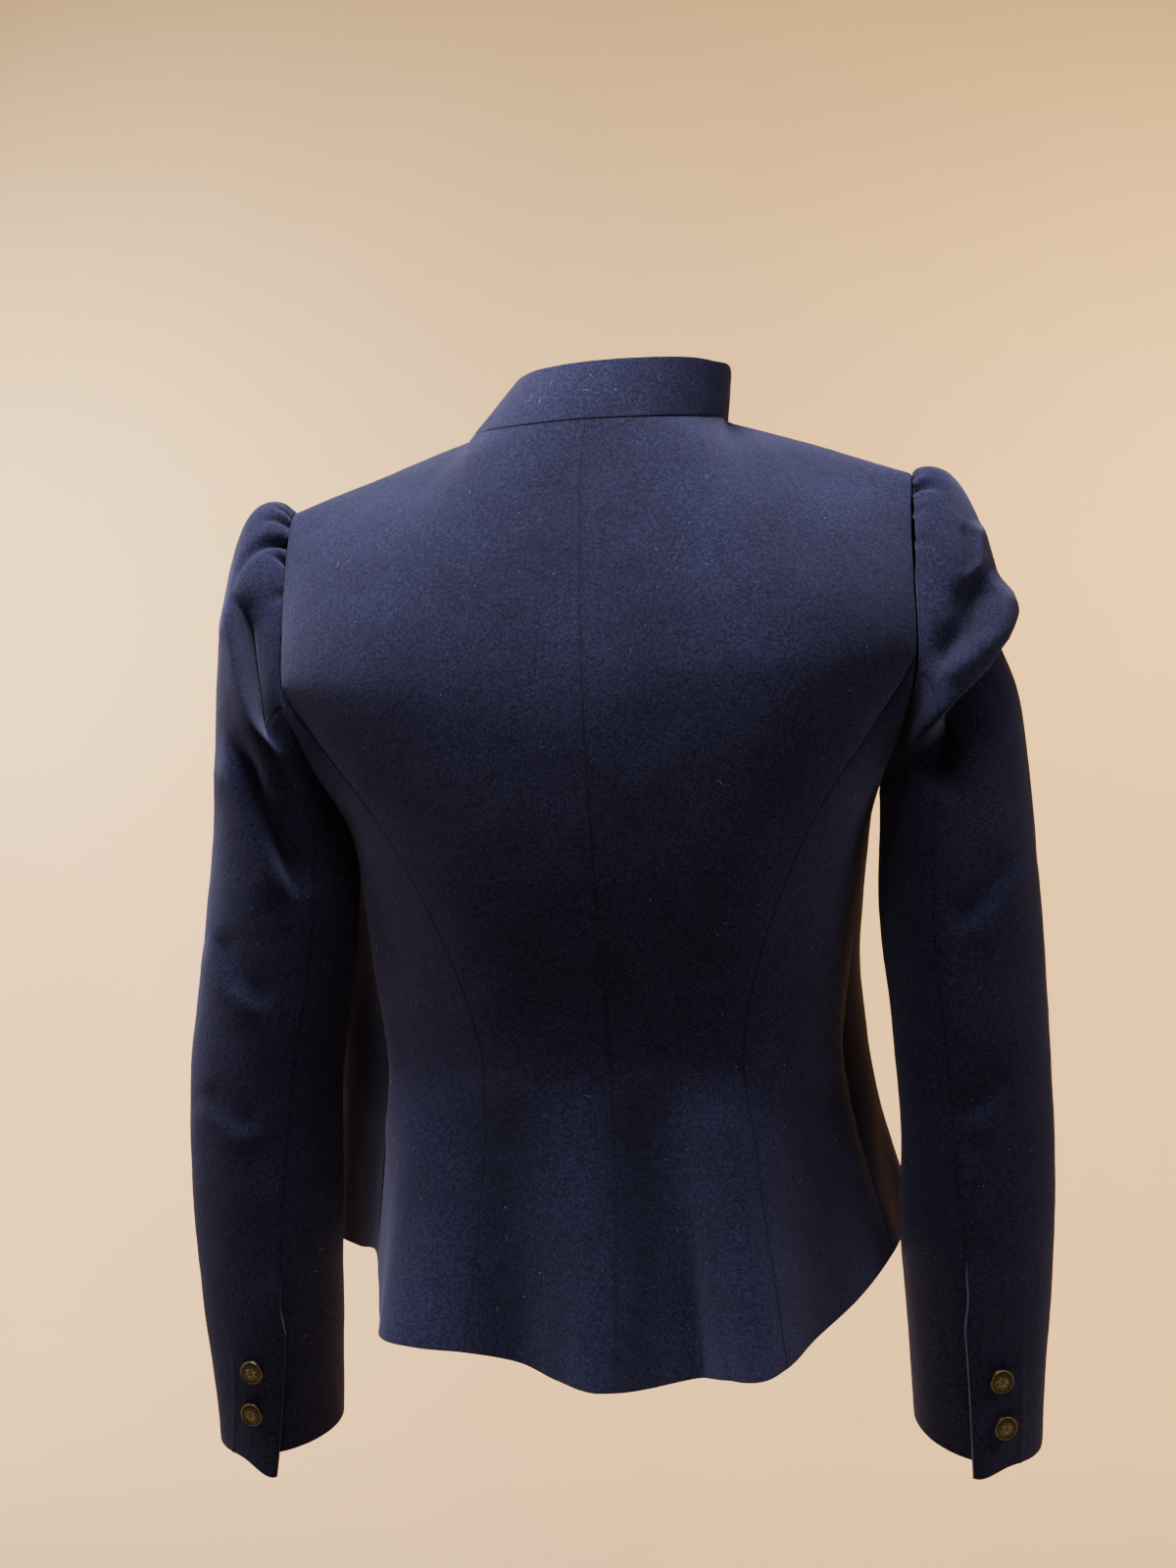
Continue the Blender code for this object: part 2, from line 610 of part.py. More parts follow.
FLAP_OVERLAP = 5.0
FLAP_LIFT = 0.0032
FLAP_WIDTH = 0.016
FLAP_POINT = {LEFT: 0.014, RIGHT: 0.010}
FLAP_POINT_DROP = 0.585
FLAP_START = 0.025


def flap(side, angle, place, points, normals):
    """The vent flap: near its free edge the upper sleeve lies over the under sleeve, and hangs lower."""
    drop = CAP_END + np.maximum(place - 1, 0)
    from_edge = np.radians(back_seam(side, place) + FLAP_OVERLAP - angle) * MEAN_SLEEVE_RADIUS / FLAP_WIDTH
    near = np.exp(-from_edge * from_edge)
    lift = FLAP_LIFT * near * smooth((drop - VENT_TOP) / FLAP_START + 1)
    lower = FLAP_POINT[side] * near * smooth((drop - FLAP_POINT_DROP) / (SLEEVE_HEM - FLAP_POINT_DROP))
    return points + normals * lift[:, None] - np.stack([0 * lower, 0 * lower, lower], axis=1)


CAP_STEPS = (0.0, 0.02, 0.045, 0.08, 0.13, 0.20, 0.30, 0.42, 0.56, 0.70, 0.85, 1.0)
TUBE_DROPS = (0.265, 0.297, 0.330, 0.363, 0.396, 0.429, 0.462, 0.495, 0.530, 0.555, 0.585, 0.608, 0.628)
GATHERED_STEPS = 5
MIDDLE_STEPS = 7
UPPER_COLUMNS = 15
UNDER_COLUMNS = 8


def sleeve_places():
    return [*CAP_STEPS, *(1 + drop - CAP_END for drop in TUBE_DROPS)]


def upper_angles(side, step, place):
    """The angles of one row: four to a gather by the seam, then fewer, then an even spread."""
    end = float(back_seam(side, place))
    if place > 1:
        end += FLAP_OVERLAP * float(smooth((place - 1 + CAP_END - VENT_TOP) / FLAP_START))
    quarter = 2 * GATHER_SPAN / (4 * GATHERS)
    if step < GATHERED_STEPS:
        middle = np.arange(-GATHER_SPAN, GATHER_SPAN + quarter / 2, quarter)
        return np.concatenate(
            [np.linspace(FRONT_SEAM, middle[0], 6)[:-1], middle, np.linspace(middle[-1], end, 5)[1:]]
        )
    if step < MIDDLE_STEPS:
        return np.linspace(FRONT_SEAM, end, 2 * UPPER_COLUMNS - 1)
    return np.linspace(FRONT_SEAM, end, UPPER_COLUMNS)


def sleeve_row(side, angle, place, has_flap):
    place = np.full_like(angle, place)
    points = sleeve_surface(side, angle, place)
    normals = sleeve_normal(side, angle, place)
    length = np.linalg.norm(points - sleeve_surface(side, angle, 0 * place), axis=-1)
    push = gather_push(angle, place, length) + fold_push(side, points, normals, length)
    points = points + normals * push[:, None]
    if has_flap:
        points = flap(side, angle, place, points, normals)
    return mirrored_to(points, side)


def upper_sleeve(side):
    rows = []
    for step, place in enumerate(sleeve_places()):
        angle = upper_angles(side, step, place)
        rows.append(((angle - angle[0]) / np.ptp(angle), sleeve_row(side, angle, place, True)))
    return rows


def under_sleeve(side):
    rows = []
    for place in sleeve_places():
        angle = np.linspace(float(back_seam(side, place)), FRONT_SEAM + 360, UNDER_COLUMNS)
        rows.append(((angle - angle[0]) / np.ptp(angle), sleeve_row(side, angle, place, False)))
    return rows


def stitched(rows):
    """Triangles between each row of points and the next, whose counts may differ."""
    faces = []
    start = 0
    for (below, _), (above, _) in zip(rows, rows[1:]):
        other = start + len(below)
        i = j = 0
        while i < len(below) - 1 or j < len(above) - 1:
            last_below, last_above = i == len(below) - 1, j == len(above) - 1
            if last_above or (
                not last_below and below[i] + below[i + 1] <= above[j] + above[j + 1] + 1e-9
            ):
                faces.append((start + i, start + i + 1, other + j))
                i += 1
            else:
                faces.append((start + i, other + j + 1, other + j))
                j += 1
        start = other
    return np.array(faces)


class Cloth:
    """One cut piece: its outer points and faces, and the wall behind them."""

    def __init__(self, name, rows, flip, wall=WALL):
        self.name = name
        self.wall = wall
        self.points = np.vstack([points for _, points in rows])
        faces = stitched(rows)
        self.faces = faces[:, ::-1] if flip else faces

    def face_normals(self):
        a, b, c = (self.points[self.faces[:, k]] for k in range(3))
        return np.cross(b - a, c - a)

    def border(self):
        """The directed edges that only one face has."""
        edges = {(face[k], face[(k + 1) % 3]) for face in self.faces.tolist() for k in range(3)}
        return [(a, b) for a, b in edges if (b, a) not in edges]

    def solid(self, normals):
        inward = np.zeros_like(self.points)
        border = self.border()
        for a, b in border:
            along_edge = unit(self.points[b] - self.points[a])
            for corner in (a, b):
                inward[corner] += np.cross(normals[corner], along_edge)
        shift = np.zeros_like(inward)
        on_border = np.linalg.norm(inward, axis=1) > 0
        shift[on_border] = unit(inward[on_border]) * SEAM_SHIFT
        outer = self.points + shift
        inner = outer - normals * self.wall
        count = len(outer)
        faces = [tuple(face) for face in self.faces.tolist()]
        faces += [(a + count, c + count, b + count) for a, b, c in self.faces.tolist()]
        for a, b in border:
            # Both pieces of a seam split its wall along the same diagonal.
            if tuple(self.points[a]) < tuple(self.points[b]):
                faces += [(b, a, a + count), (b, a + count, b + count)]
            else:
                faces += [(b, a, b + count), (a, a + count, b + count)]
        return np.vstack([outer, inner]), faces


def shared_normals(pieces):
    """Each piece's point normals, the same on both sides of a seam."""
    sums = {}

    def key(point):
        return tuple(np.round(point * 1e5).astype(int))

    for piece in pieces:
        normals = piece.face_normals()
        for face, normal in zip(piece.faces, normals):
            for corner in face:
                place = key(piece.points[corner])
                sums[place] = sums.get(place, 0) + normal
    return [unit(np.array([sums[key(point)] for point in piece.points])) for piece in pieces]


def material(name, colour, roughness, metallic):
    made = bpy.data.materials.new(name)
    made.use_nodes = True
    shader = made.node_tree.nodes["Principled BSDF"]
    shader.inputs["Base Color"].default_value = (*colour, 1.0)
    shader.inputs["Roughness"].default_value = roughness
    shader.inputs["Metallic"].default_value = metallic
    return made


def add_mesh(name, points, faces, finish):
    mesh = bpy.data.meshes.new(name)
    mesh.from_pydata([tuple(point) for point in points], [], faces)
    mesh.shade_smooth()
    mesh.set_sharp_from_angle(angle=math.radians(40))
    mesh.materials.append(finish)
    made = bpy.data.objects.new(name, mesh)
    bpy.context.scene.collection.objects.link(made)
    return made


# A shank button, turned: radius and height above the cloth
ButtonRing = namedtuple("ButtonRing", "radius height")
BUTTON_PROFILE = (
    ButtonRing(0.0022, 0.0003),
    ButtonRing(0.0022, 0.0026),
    ButtonRing(0.0074, 0.0031),
    ButtonRing(0.0080, 0.0039),
    ButtonRing(0.0075, 0.0049),
    ButtonRing(0.0062, 0.0047),
    ButtonRing(0.0036, 0.0058),
)
BUTTON_TOP = 0.0062
BUTTON_SIDES = 14


def add_button(name, place, normal, finish):
    normal = unit(normal)
    across = unit(np.cross(normal, [0.0, 0.0, 1.0]))
    upright = np.cross(across, normal)
    turns = np.arange(BUTTON_SIDES) * 2 * math.pi / BUTTON_SIDES
    circle = np.outer(np.cos(turns), across) + np.outer(np.sin(turns), upright)
    points = [place + normal * row.height + circle * row.radius for row in BUTTON_PROFILE]
    points = np.vstack([*points, place + normal * BUTTON_PROFILE[0].height, place + normal * BUTTON_TOP])
    base, top = len(points) - 2, len(points) - 1
    faces = []
    for level in range(len(BUTTON_PROFILE) - 1):
        for k in range(BUTTON_SIDES):
            a = level * BUTTON_SIDES + k
            b = level * BUTTON_SIDES + (k + 1) % BUTTON_SIDES
            faces.append((a, a + BUTTON_SIDES, b + BUTTON_SIDES, b))
    last = (len(BUTTON_PROFILE) - 1) * BUTTON_SIDES
    for k in range(BUTTON_SIDES):
        follow = (k + 1) % BUTTON_SIDES
        faces.append((base, k, follow))
        faces.append((top, last + follow, last + k))
    return add_mesh(name, points, faces, finish)


# The cuff buttons: drop below the nape, and how far in from the flap's edge, in degrees
CuffButton = namedtuple("CuffButton", "drop inset")
CUFF_BUTTONS = {
    LEFT: (CuffButton(0.571, 24), CuffButton(0.597, 22)),
    RIGHT: (CuffButton(0.577, 23), CuffButton(0.602, 25)),
}


def add_cuff_buttons(side, finish):
    for number, row in enumerate(CUFF_BUTTONS[side], 1):
        place = np.array([1 + row.drop - CAP_END])
        angle = back_seam(side, place) + FLAP_OVERLAP - row.inset
        step = np.array([1.0])
        point = sleeve_row(side, angle, place[0], True)[0]
        around = sleeve_row(side, angle + step, place[0], True)[0] - point
        down = sleeve_row(side, angle, place[0] + SURFACE_STEP, True)[0] - point
        normal = np.cross(down, around) * side
        add_button(f"cuff_button_{side_name(side)}_{number}", point, normal, finish)


# The front buttons: rise on the front edge, guessed
FRONT_BUTTONS = (1.46, 1.02, 0.62, 0.28, 0.0)
FRONT_BUTTON_INSET = 0.016


def front_at(rise, u):
    return settled(mirrored_to(front_row(LEFT, rise, np.array([u])), LEFT))[0]


def add_front_buttons(finish):
    for number, rise in enumerate(FRONT_BUTTONS, 1):
        edge, inner = front_at(rise, 1.0), front_at(rise, 0.9)
        u = 1 - 0.1 * FRONT_BUTTON_INSET / np.linalg.norm(edge - inner)
        point = front_at(rise, u)
        across = front_at(rise, u - 0.02) - point
        upward = front_at(rise + 0.03, u) - point
        normal = np.cross(across, upward)
        add_button(f"front_button_{number}", point, normal, finish)


def main():
    for old in list(bpy.data.objects):
        bpy.data.objects.remove(old, do_unlink=True)
    wool = material("navy_wool", (0.020, 0.022, 0.045), 0.95, 0.0)
    brass = material("antique_brass", (0.30, 0.21, 0.10), 0.45, 1.0)
    shell = []
    sleeves = []
    for side in (LEFT, RIGHT):
        flip = side == LEFT
        name = side_name(side)
        shell.append(Cloth(f"back_{name}", back_panel(side), flip))
        shell.append(Cloth(f"side_back_{name}", side_back_panel(side), flip))
        shell.append(Cloth(f"front_{name}", front_panel(side), flip))
        sleeves.append(Cloth(f"upper_sleeve_{name}", upper_sleeve(side), flip))
        sleeves.append(Cloth(f"under_sleeve_{name}", under_sleeve(side), flip))
    rows = [(COLLAR_ANGLES, collar_row(height, COLLAR_ANGLES)) for height in COLLAR_STEPS]
    collar = [Cloth("collar", rows, True, COLLAR_WALL)]
    for group in (shell, sleeves, collar):
        for piece, normals in zip(group, shared_normals(group)):
            points, faces = piece.solid(normals)
            add_mesh(piece.name, points, faces, wool)
    for side in (LEFT, RIGHT):
        add_cuff_buttons(side, brass)
    add_front_buttons(brass)


main()
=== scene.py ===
"""The looks of the wool jacket: felted cloth shells, antique brass buttons, sewing and lint.

Metres, in the frame's own axes: +Z is up, +Y the wearer's back, -Y the front, +X the wearer's left. Each
cloth shell follows the same sizes as the solid that it replaces, at a finer pitch.
"""

import math
import random
from collections import namedtuple

import bpy
import numpy as np
from mathutils import Matrix, Vector, noise


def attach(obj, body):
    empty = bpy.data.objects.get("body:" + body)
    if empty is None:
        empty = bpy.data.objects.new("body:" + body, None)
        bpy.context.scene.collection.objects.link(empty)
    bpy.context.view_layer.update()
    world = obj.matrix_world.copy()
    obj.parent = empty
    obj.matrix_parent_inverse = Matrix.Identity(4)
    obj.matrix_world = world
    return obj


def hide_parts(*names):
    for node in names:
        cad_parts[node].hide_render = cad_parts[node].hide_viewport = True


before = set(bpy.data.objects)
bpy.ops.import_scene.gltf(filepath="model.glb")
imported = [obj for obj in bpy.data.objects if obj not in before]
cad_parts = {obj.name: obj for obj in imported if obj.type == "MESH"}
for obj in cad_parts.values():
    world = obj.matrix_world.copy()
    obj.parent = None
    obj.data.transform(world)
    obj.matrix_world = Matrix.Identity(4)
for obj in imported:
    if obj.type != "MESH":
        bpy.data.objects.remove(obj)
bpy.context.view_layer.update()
BODY = "root"

# Driving sizes in metres
WALL = 0.002
COLLAR_WALL = 0.003
SEAM_GAP = 0.0003
COLLAR_HEIGHT = 0.037
CAP_END = 0.235
SLEEVE_HEM = 0.628
VENT_TOP = 0.530
MEAN_SLEEVE_RADIUS = 0.040

LEFT, RIGHT = 1, -1

# The back from waist (rise 0) to the level where the princess seam meets the armhole (rise 1).
# heading is the way the cloth runs at the princess seam, in degrees from straight across.
BackLevel = namedtuple("BackLevel", "rise back_y back_z seam_x seam_y seam_z heading")
BACK_LEVELS = (
    BackLevel(-0.20, 0.0920, -0.430, 0.0820, 0.0840, -0.430, -24),
    BackLevel(0.00, 0.0870, -0.388, 0.0780, 0.0800, -0.388, -24),
    BackLevel(0.20, 0.0955, -0.341, 0.0865, 0.0865, -0.340, -30),
    BackLevel(0.42, 0.1095, -0.289, 0.1070, 0.0900, -0.285, -38),
    BackLevel(0.66, 0.1190, -0.234, 0.1375, 0.0860, -0.229, -46),
    BackLevel(0.85, 0.1215, -0.190, 0.1680, 0.0775, -0.187, -52),
    BackLevel(1.00, 0.1200, -0.155, 0.1925, 0.0710, -0.150, -55),
    BackLevel(1.20, 0.1130, -0.110, 0.1930, 0.0570, -0.107, -50),
)

# The side seam from waist (rise 0) to the underarm (rise 1). front_heading is the front panel's there, and
# front_swing is how far the front stands out past its plain arc. The wearer's left front swings out further.
SideLevel = namedtuple("SideLevel", "rise x y z front_heading front_swing")
SIDE_LEVELS = {
    LEFT: (
        SideLevel(0.00, 0.154, 0.000, -0.390, -50, 0.036),
        SideLevel(0.20, 0.157, 0.000, -0.350, -58, 0.041),
        SideLevel(0.45, 0.161, 0.000, -0.305, -70, 0.047),
        SideLevel(0.70, 0.163, 0.001, -0.262, -82, 0.044),
        SideLevel(1.00, 0.163, 0.000, -0.218, -92, 0.022),
    ),
    RIGHT: (
        SideLevel(0.00, 0.134, 0.000, -0.390, -62, 0.000),
        SideLevel(0.20, 0.140, 0.000, -0.350, -72, 0.000),
        SideLevel(0.45, 0.150, 0.000, -0.305, -82, 0.000),
        SideLevel(0.70, 0.157, 0.001, -0.262, -88, 0.000),
        SideLevel(1.00, 0.163, 0.000, -0.218, -92, 0.000),
    ),
}
SIDE_HEADING = -92
SWING_HEADING = -16
SWING_PEAK = 0.45
ARMHOLE_BLEND = 0.6

# The front edges, hanging open: from the waist (rise 0) past the underarm level (1) to the chest (1.5).
EdgeLevel = namedtuple("EdgeLevel", "rise x y z")
CHEST_EDGE = (
    EdgeLevel(1.00, 0.027, -0.120, -0.216),
    EdgeLevel(1.25, 0.022, -0.111, -0.188),
    EdgeLevel(1.50, 0.018, -0.100, -0.160),
)
EDGE_LEVELS = {
    LEFT: (
        EdgeLevel(0.00, 0.098, -0.162, -0.387),
        EdgeLevel(0.20, 0.081, -0.155, -0.344),
        EdgeLevel(0.45, 0.059, -0.145, -0.297),
        EdgeLevel(0.70, 0.041, -0.134, -0.258),
        *CHEST_EDGE,
    ),
    RIGHT: (
        EdgeLevel(0.00, 0.072, -0.150, -0.388),
        EdgeLevel(0.20, 0.062, -0.146, -0.345),
        EdgeLevel(0.45, 0.048, -0.138, -0.297),
        EdgeLevel(0.70, 0.036, -0.130, -0.258),
        *CHEST_EDGE,
    ),
}
EDGE_HEADING = -178
CHEST_HEADING = -150
CHEST_RISE = 1.5

# The armhole, from the shoulder point (0) down the back (90) to the underarm (180) and up the front.
ArmholePoint = namedtuple("ArmholePoint", "angle x y z")
ARMHOLE = (
    ArmholePoint(0, 0.1940, 0.006, -0.039),
    ArmholePoint(30, 0.1935, 0.032, -0.061),
    ArmholePoint(60, 0.1930, 0.056, -0.104),
    ArmholePoint(90, 0.1925, 0.071, -0.150),
    ArmholePoint(120, 0.1860, 0.066, -0.180),
    ArmholePoint(150, 0.1730, 0.040, -0.207),
    ArmholePoint(180, 0.1630, 0.000, -0.218),
    ArmholePoint(210, 0.1640, -0.036, -0.207),
    ArmholePoint(240, 0.1670, -0.060, -0.180),
    ArmholePoint(270, 0.1720, -0.068, -0.145),
    ArmholePoint(300, 0.1800, -0.060, -0.104),
    ArmholePoint(330, 0.1890, -0.030, -0.061),
)

# The neck seam, from the centre back (0) over the shoulder seam (90) to the front edge.
NeckPoint = namedtuple("NeckPoint", "angle x y z")
NECK = (
    NeckPoint(0, 0.0000, 0.0675, 0.000),
    NeckPoint(30, 0.0390, 0.0600, 0.000),
    NeckPoint(60, 0.0680, 0.0350, 0.001),
    NeckPoint(90, 0.0800, 0.0000, 0.001),
    NeckPoint(120, 0.0720, -0.0290, -0.022),
    NeckPoint(150, 0.0450, -0.0520, -0.053),
    NeckPoint(172, 0.0120, -0.0630, -0.073),
)
NECK_END = 172

# The peplum hem, from the right front edge round the back to the left front edge. Each crest and trough
# of a flute is a row, and a row on a seam names it.
HemPoint = namedtuple("HemPoint", "seam x y z")
HEM = (
    HemPoint("edge right", -0.090, -0.170, -0.516),
    HemPoint("", -0.135, -0.162, -0.517),
    HemPoint("", -0.168, -0.132, -0.518),
    HemPoint("", -0.176, -0.088, -0.519),
    HemPoint("", -0.166, -0.045, -0.520),
    HemPoint("side right", -0.160, 0.000, -0.521),
    HemPoint("", -0.151, 0.032, -0.528),
    HemPoint("", -0.137, 0.065, -0.538),
    HemPoint("", -0.118, 0.098, -0.548),
    HemPoint("princess right", -0.0985, 0.130, -0.557),
    HemPoint("crest", -0.085, 0.140, -0.562),
    HemPoint("", -0.069, 0.127, -0.564),
    HemPoint("trough", -0.050, 0.113, -0.566),
    HemPoint("", -0.022, 0.132, -0.566),
    HemPoint("centre", 0.000, 0.141, -0.566),
    HemPoint("crest", 0.012, 0.142, -0.566),
    HemPoint("", 0.038, 0.128, -0.562),
    HemPoint("trough", 0.064, 0.116, -0.554),
    HemPoint("princess left", 0.0925, 0.120, -0.547),
    HemPoint("", 0.120, 0.119, -0.545),
    HemPoint("crest", 0.143, 0.097, -0.545),
    HemPoint("", 0.154, 0.060, -0.537),
    HemPoint("", 0.162, 0.028, -0.524),
    HemPoint("side left", 0.170, 0.000, -0.514),
    HemPoint("", 0.191, -0.037, -0.518),
    HemPoint("", 0.213, -0.072, -0.519),
    HemPoint("", 0.222, -0.107, -0.519),
    HemPoint("", 0.204, -0.146, -0.519),
    HemPoint("", 0.163, -0.169, -0.518),
    HemPoint("edge left", 0.112, -0.175, -0.517),
)
FLARE_SOFTNESS = 0.10
EARLY_FLARE = 0.55

# The garment's top leans to the wearer's right above this level
LEAN_LEVEL = -0.05
LEAN_SHARE = 0.09
LEAN_SOFTNESS = 0.02

# The sleeves below the cap: drop is the depth below the nape, wide and deep are half widths across and
# front to back, tilt is how much lower the back of the ring hangs, back_seam is the seam's angle.
SleeveRing = namedtuple("SleeveRing", "drop x y wide deep tilt back_seam")
SLEEVE_RINGS = {
    LEFT: (
        SleeveRing(0.200, 0.2095, 0.003, 0.0445, 0.062, 0.000, 132),
        SleeveRing(0.235, 0.2115, 0.004, 0.0455, 0.060, 0.000, 131),
        SleeveRing(0.300, 0.2185, 0.006, 0.0485, 0.056, 0.000, 130),
        SleeveRing(0.400, 0.2345, 0.004, 0.0490, 0.052, 0.002, 124),
        SleeveRing(0.465, 0.2400, -0.002, 0.0485, 0.050, 0.004, 117),
        SleeveRing(0.530, 0.2430, -0.010, 0.0460, 0.047, 0.006, 110),
        SleeveRing(0.590, 0.2440, -0.019, 0.0425, 0.043, 0.007, 101),
        SleeveRing(0.628, 0.2460, -0.025, 0.0415, 0.040, 0.008, 91),
    ),
    RIGHT: (
        SleeveRing(0.200, 0.2105, 0.003, 0.0455, 0.062, 0.000, 104),
        SleeveRing(0.235, 0.2115, 0.004, 0.0460, 0.060, 0.000, 106),
        SleeveRing(0.300, 0.2100, 0.006, 0.0495, 0.056, 0.000, 108),
        SleeveRing(0.388, 0.2137, 0.004, 0.0475, 0.052, 0.002, 109),
        SleeveRing(0.443, 0.2144, 0.000, 0.0473, 0.050, 0.004, 107),
        SleeveRing(0.523, 0.2110, -0.009, 0.0470, 0.047, 0.006, 98),
        SleeveRing(0.572, 0.2085, -0.016, 0.0435, 0.043, 0.007, 93),
        SleeveRing(0.628, 0.2060, -0.025, 0.0395, 0.040, 0.008, 90),
    ),
}
# How much lower the cuff's edge hangs all round, and how much more at its outer side, in metres
HEM_FALL = {LEFT: (0.003, 0.004), RIGHT: (0.010, 0.010)}
HEM_FALL_START = 0.50
HEM_FALL_ANGLE = 20
FRONT_SEAM = -125
CAP_BACK_SEAM = 100
CAP_LANDING = 1.1
SURFACE_STEP = 0.01

# How the sleeve head leaves the armhole seam: the direction and its strength, by armhole angle.
Spring = namedtuple("Spring", "angle out back up")
LOWER_SPRINGS = (
    Spring(90, 0.080, 0.055, -0.040),
    Spring(135, 0.035, 0.015, -0.030),
    Spring(180, 0.016, 0.000, -0.012),
    Spring(225, 0.035, -0.015, -0.030),
    Spring(270, 0.080, -0.050, -0.040),
)
SPRING = {
    LEFT: (
        Spring(0, 0.150, 0.000, 0.120),
        Spring(45, 0.140, 0.060, 0.060),
        *LOWER_SPRINGS,
        Spring(315, 0.140, -0.055, 0.060),
    ),
    RIGHT: (
        Spring(0, 0.140, 0.000, 0.060),
        Spring(45, 0.130, 0.055, 0.030),
        *LOWER_SPRINGS,
        Spring(315, 0.130, -0.050, 0.030),
    ),
}


def hermite(start, start_pull, end, end_pull, t):
    t2, t3 = t * t, t * t * t
    return (
        (2 * t3 - 3 * t2 + 1) * start
        + (t3 - 2 * t2 + t) * start_pull
        + (3 * t2 - 2 * t3) * end
        + (t3 - t2) * end_pull
    )


def smooth(t):
    t = np.clip(t, 0.0, 1.0)
    return t * t * (3.0 - 2.0 * t)


def along(rows, at):
    """Every column of a table after its first, read on a smooth curve at the places `at` of the first."""
    table = np.array(rows, float)
    places, values = table[:, 0], table[:, 1:]
    slopes = np.gradient(values, places, axis=0)
    at = np.asarray(at, float)
    i = np.clip(np.searchsorted(places, at, side="right") - 1, 0, len(places) - 2)
    width = (places[i + 1] - places[i])[..., None]
    t = (at - places[i])[..., None] / width
    return hermite(values[i], slopes[i] * width, values[i + 1], slopes[i + 1] * width, t)


def wrapped(rows):
    """A table round a full turn, with one row repeated before and after it."""
    before = rows[-1]._replace(angle=rows[-1].angle - 360)
    after = [row._replace(angle=row.angle + 360) for row in rows[:2]]
    return (before, *rows, *after)


def armhole(angle):
    return along(wrapped(ARMHOLE), np.asarray(angle, float) % 360)


def neck(angle):
    mirrored = NECK[1]._replace(angle=-NECK[1].angle, x=-NECK[1].x)
    return along((mirrored, *NECK), angle)


def shoulder(s):
    """The shoulder seam, from the neck (0) to the armhole (1)."""
    s = np.asarray(s, float)[..., None]
    return neck(90) + (armhole(0) - neck(90)) * s


def heading_vector(degrees):
    radians = np.radians(degrees)
    return np.stack([np.cos(radians), np.sin(radians)], axis=-1)


def arc(start, start_heading, end, end_heading, u):
    """A level arc from start to end, both (x, y, z), leaving and arriving on the given headings."""
    chord = np.hypot(*(end - start)[:2])
    turn = math.radians(abs(end_heading - start_heading))
    pull = chord / math.cos(turn / 4) ** 2
    u = np.asarray(u, float)[:, None]
    level = hermite(
        start[:2], pull * heading_vector(start_heading), end[:2], pull * heading_vector(end_heading), u
    )
    return np.hstack([level, start[2] + (end[2] - start[2]) * u * u])


def back_row(side, rise, u):
    """The same for both sides."""
    y, z, seam_x, seam_y, seam_z, heading = along(BACK_LEVELS, rise)
    return arc(np.array([0.0, y, z]), 0.0, np.array([seam_x, seam_y, seam_z]), heading, u)


def side_back_row(side, rise, u):
    _, _, x, y, z, heading = along(BACK_LEVELS, rise)
    seam = along(SIDE_LEVELS[side], rise)
    row = arc(np.array([x, y, z]), heading, seam[:3], SIDE_HEADING, u)
    below_armhole = armhole(90 + 90 * np.asarray(u))
    top = arc(armhole(90), along(BACK_LEVELS, 1.0)[5], armhole(180), SIDE_HEADING, u)
    return row + (below_armhole - top) * smooth((rise - ARMHOLE_BLEND) / (1 - ARMHOLE_BLEND))


def swing(side, rise, u):
    """How far a front level stands out past its arc: most at SWING_PEAK, nothing at both ends."""
    height = along(SIDE_LEVELS[side], min(rise, 1.0))[4] * smooth((CHEST_RISE - rise) / (CHEST_RISE - 1))
    rest = np.where(u < SWING_PEAK, u / SWING_PEAK, (1 - u) / (1 - SWING_PEAK))
    level = height * smooth(rest)[:, None] * heading_vector(SWING_HEADING)
    return np.hstack([level, 0 * level[:, :1]])


def front_row(side, rise, u):
    """A front level, from the side seam or, past rise 1, from the armhole to the front edge."""
    u = np.asarray(u, float)
    edge = along(EDGE_LEVELS[side], rise)
    if rise <= 1:
        seam = along(SIDE_LEVELS[side], rise)
        return arc(seam[:3], seam[3], edge, EDGE_HEADING, u) + swing(side, rise, u)
    share = (rise - 1) / (CHEST_RISE - 1)
    heading = SIDE_HEADING + (CHEST_HEADING - SIDE_HEADING) * share
    return arc(armhole(180 + 90 * share), heading, edge, EDGE_HEADING, u) + swing(side, rise, u)


# The yoke's row arrives at its top seam with this much lean over the body and this much climb
Arrival = namedtuple("Arrival", "lean climb")
AT_NAPE = Arrival(0.35, 0.90)
AT_THROAT = Arrival(0.45, 0.83)
AT_SHOULDER = Arrival(0.90, 0.28)
NECK_SHARE = 0.45
RISE_STEP = 0.04
CORNER_EASE = 0.30
EASE_STEPS = np.linspace(-1, 1, 9)


def back_top(u):
    u = np.asarray(u, float)
    on_neck = neck(90 * np.clip(u / NECK_SHARE, 0, 1))
    on_shoulder = shoulder(np.clip((u - NECK_SHARE) / (1 - NECK_SHARE), 0, 1))
    return np.where((u <= NECK_SHARE)[:, None], on_neck, on_shoulder)


def front_top(u):
    u = np.asarray(u, float)
    on_neck = neck(90 + (NECK_END - 90) * np.clip((u - (1 - NECK_SHARE)) / NECK_SHARE, 0, 1))
    on_shoulder = shoulder(1 - np.clip(u / (1 - NECK_SHARE), 0, 1))
    return np.where((u >= 1 - NECK_SHARE)[:, None], on_neck, on_shoulder)


def eased(top, u, w):
    """A top line as a row below it follows it: its corner is rounded off, the more the lower the row."""
    reach = CORNER_EASE * (1 - w) * 4 * u * (1 - u)
    return np.mean([top(u + reach * step) for step in EASE_STEPS], axis=0)


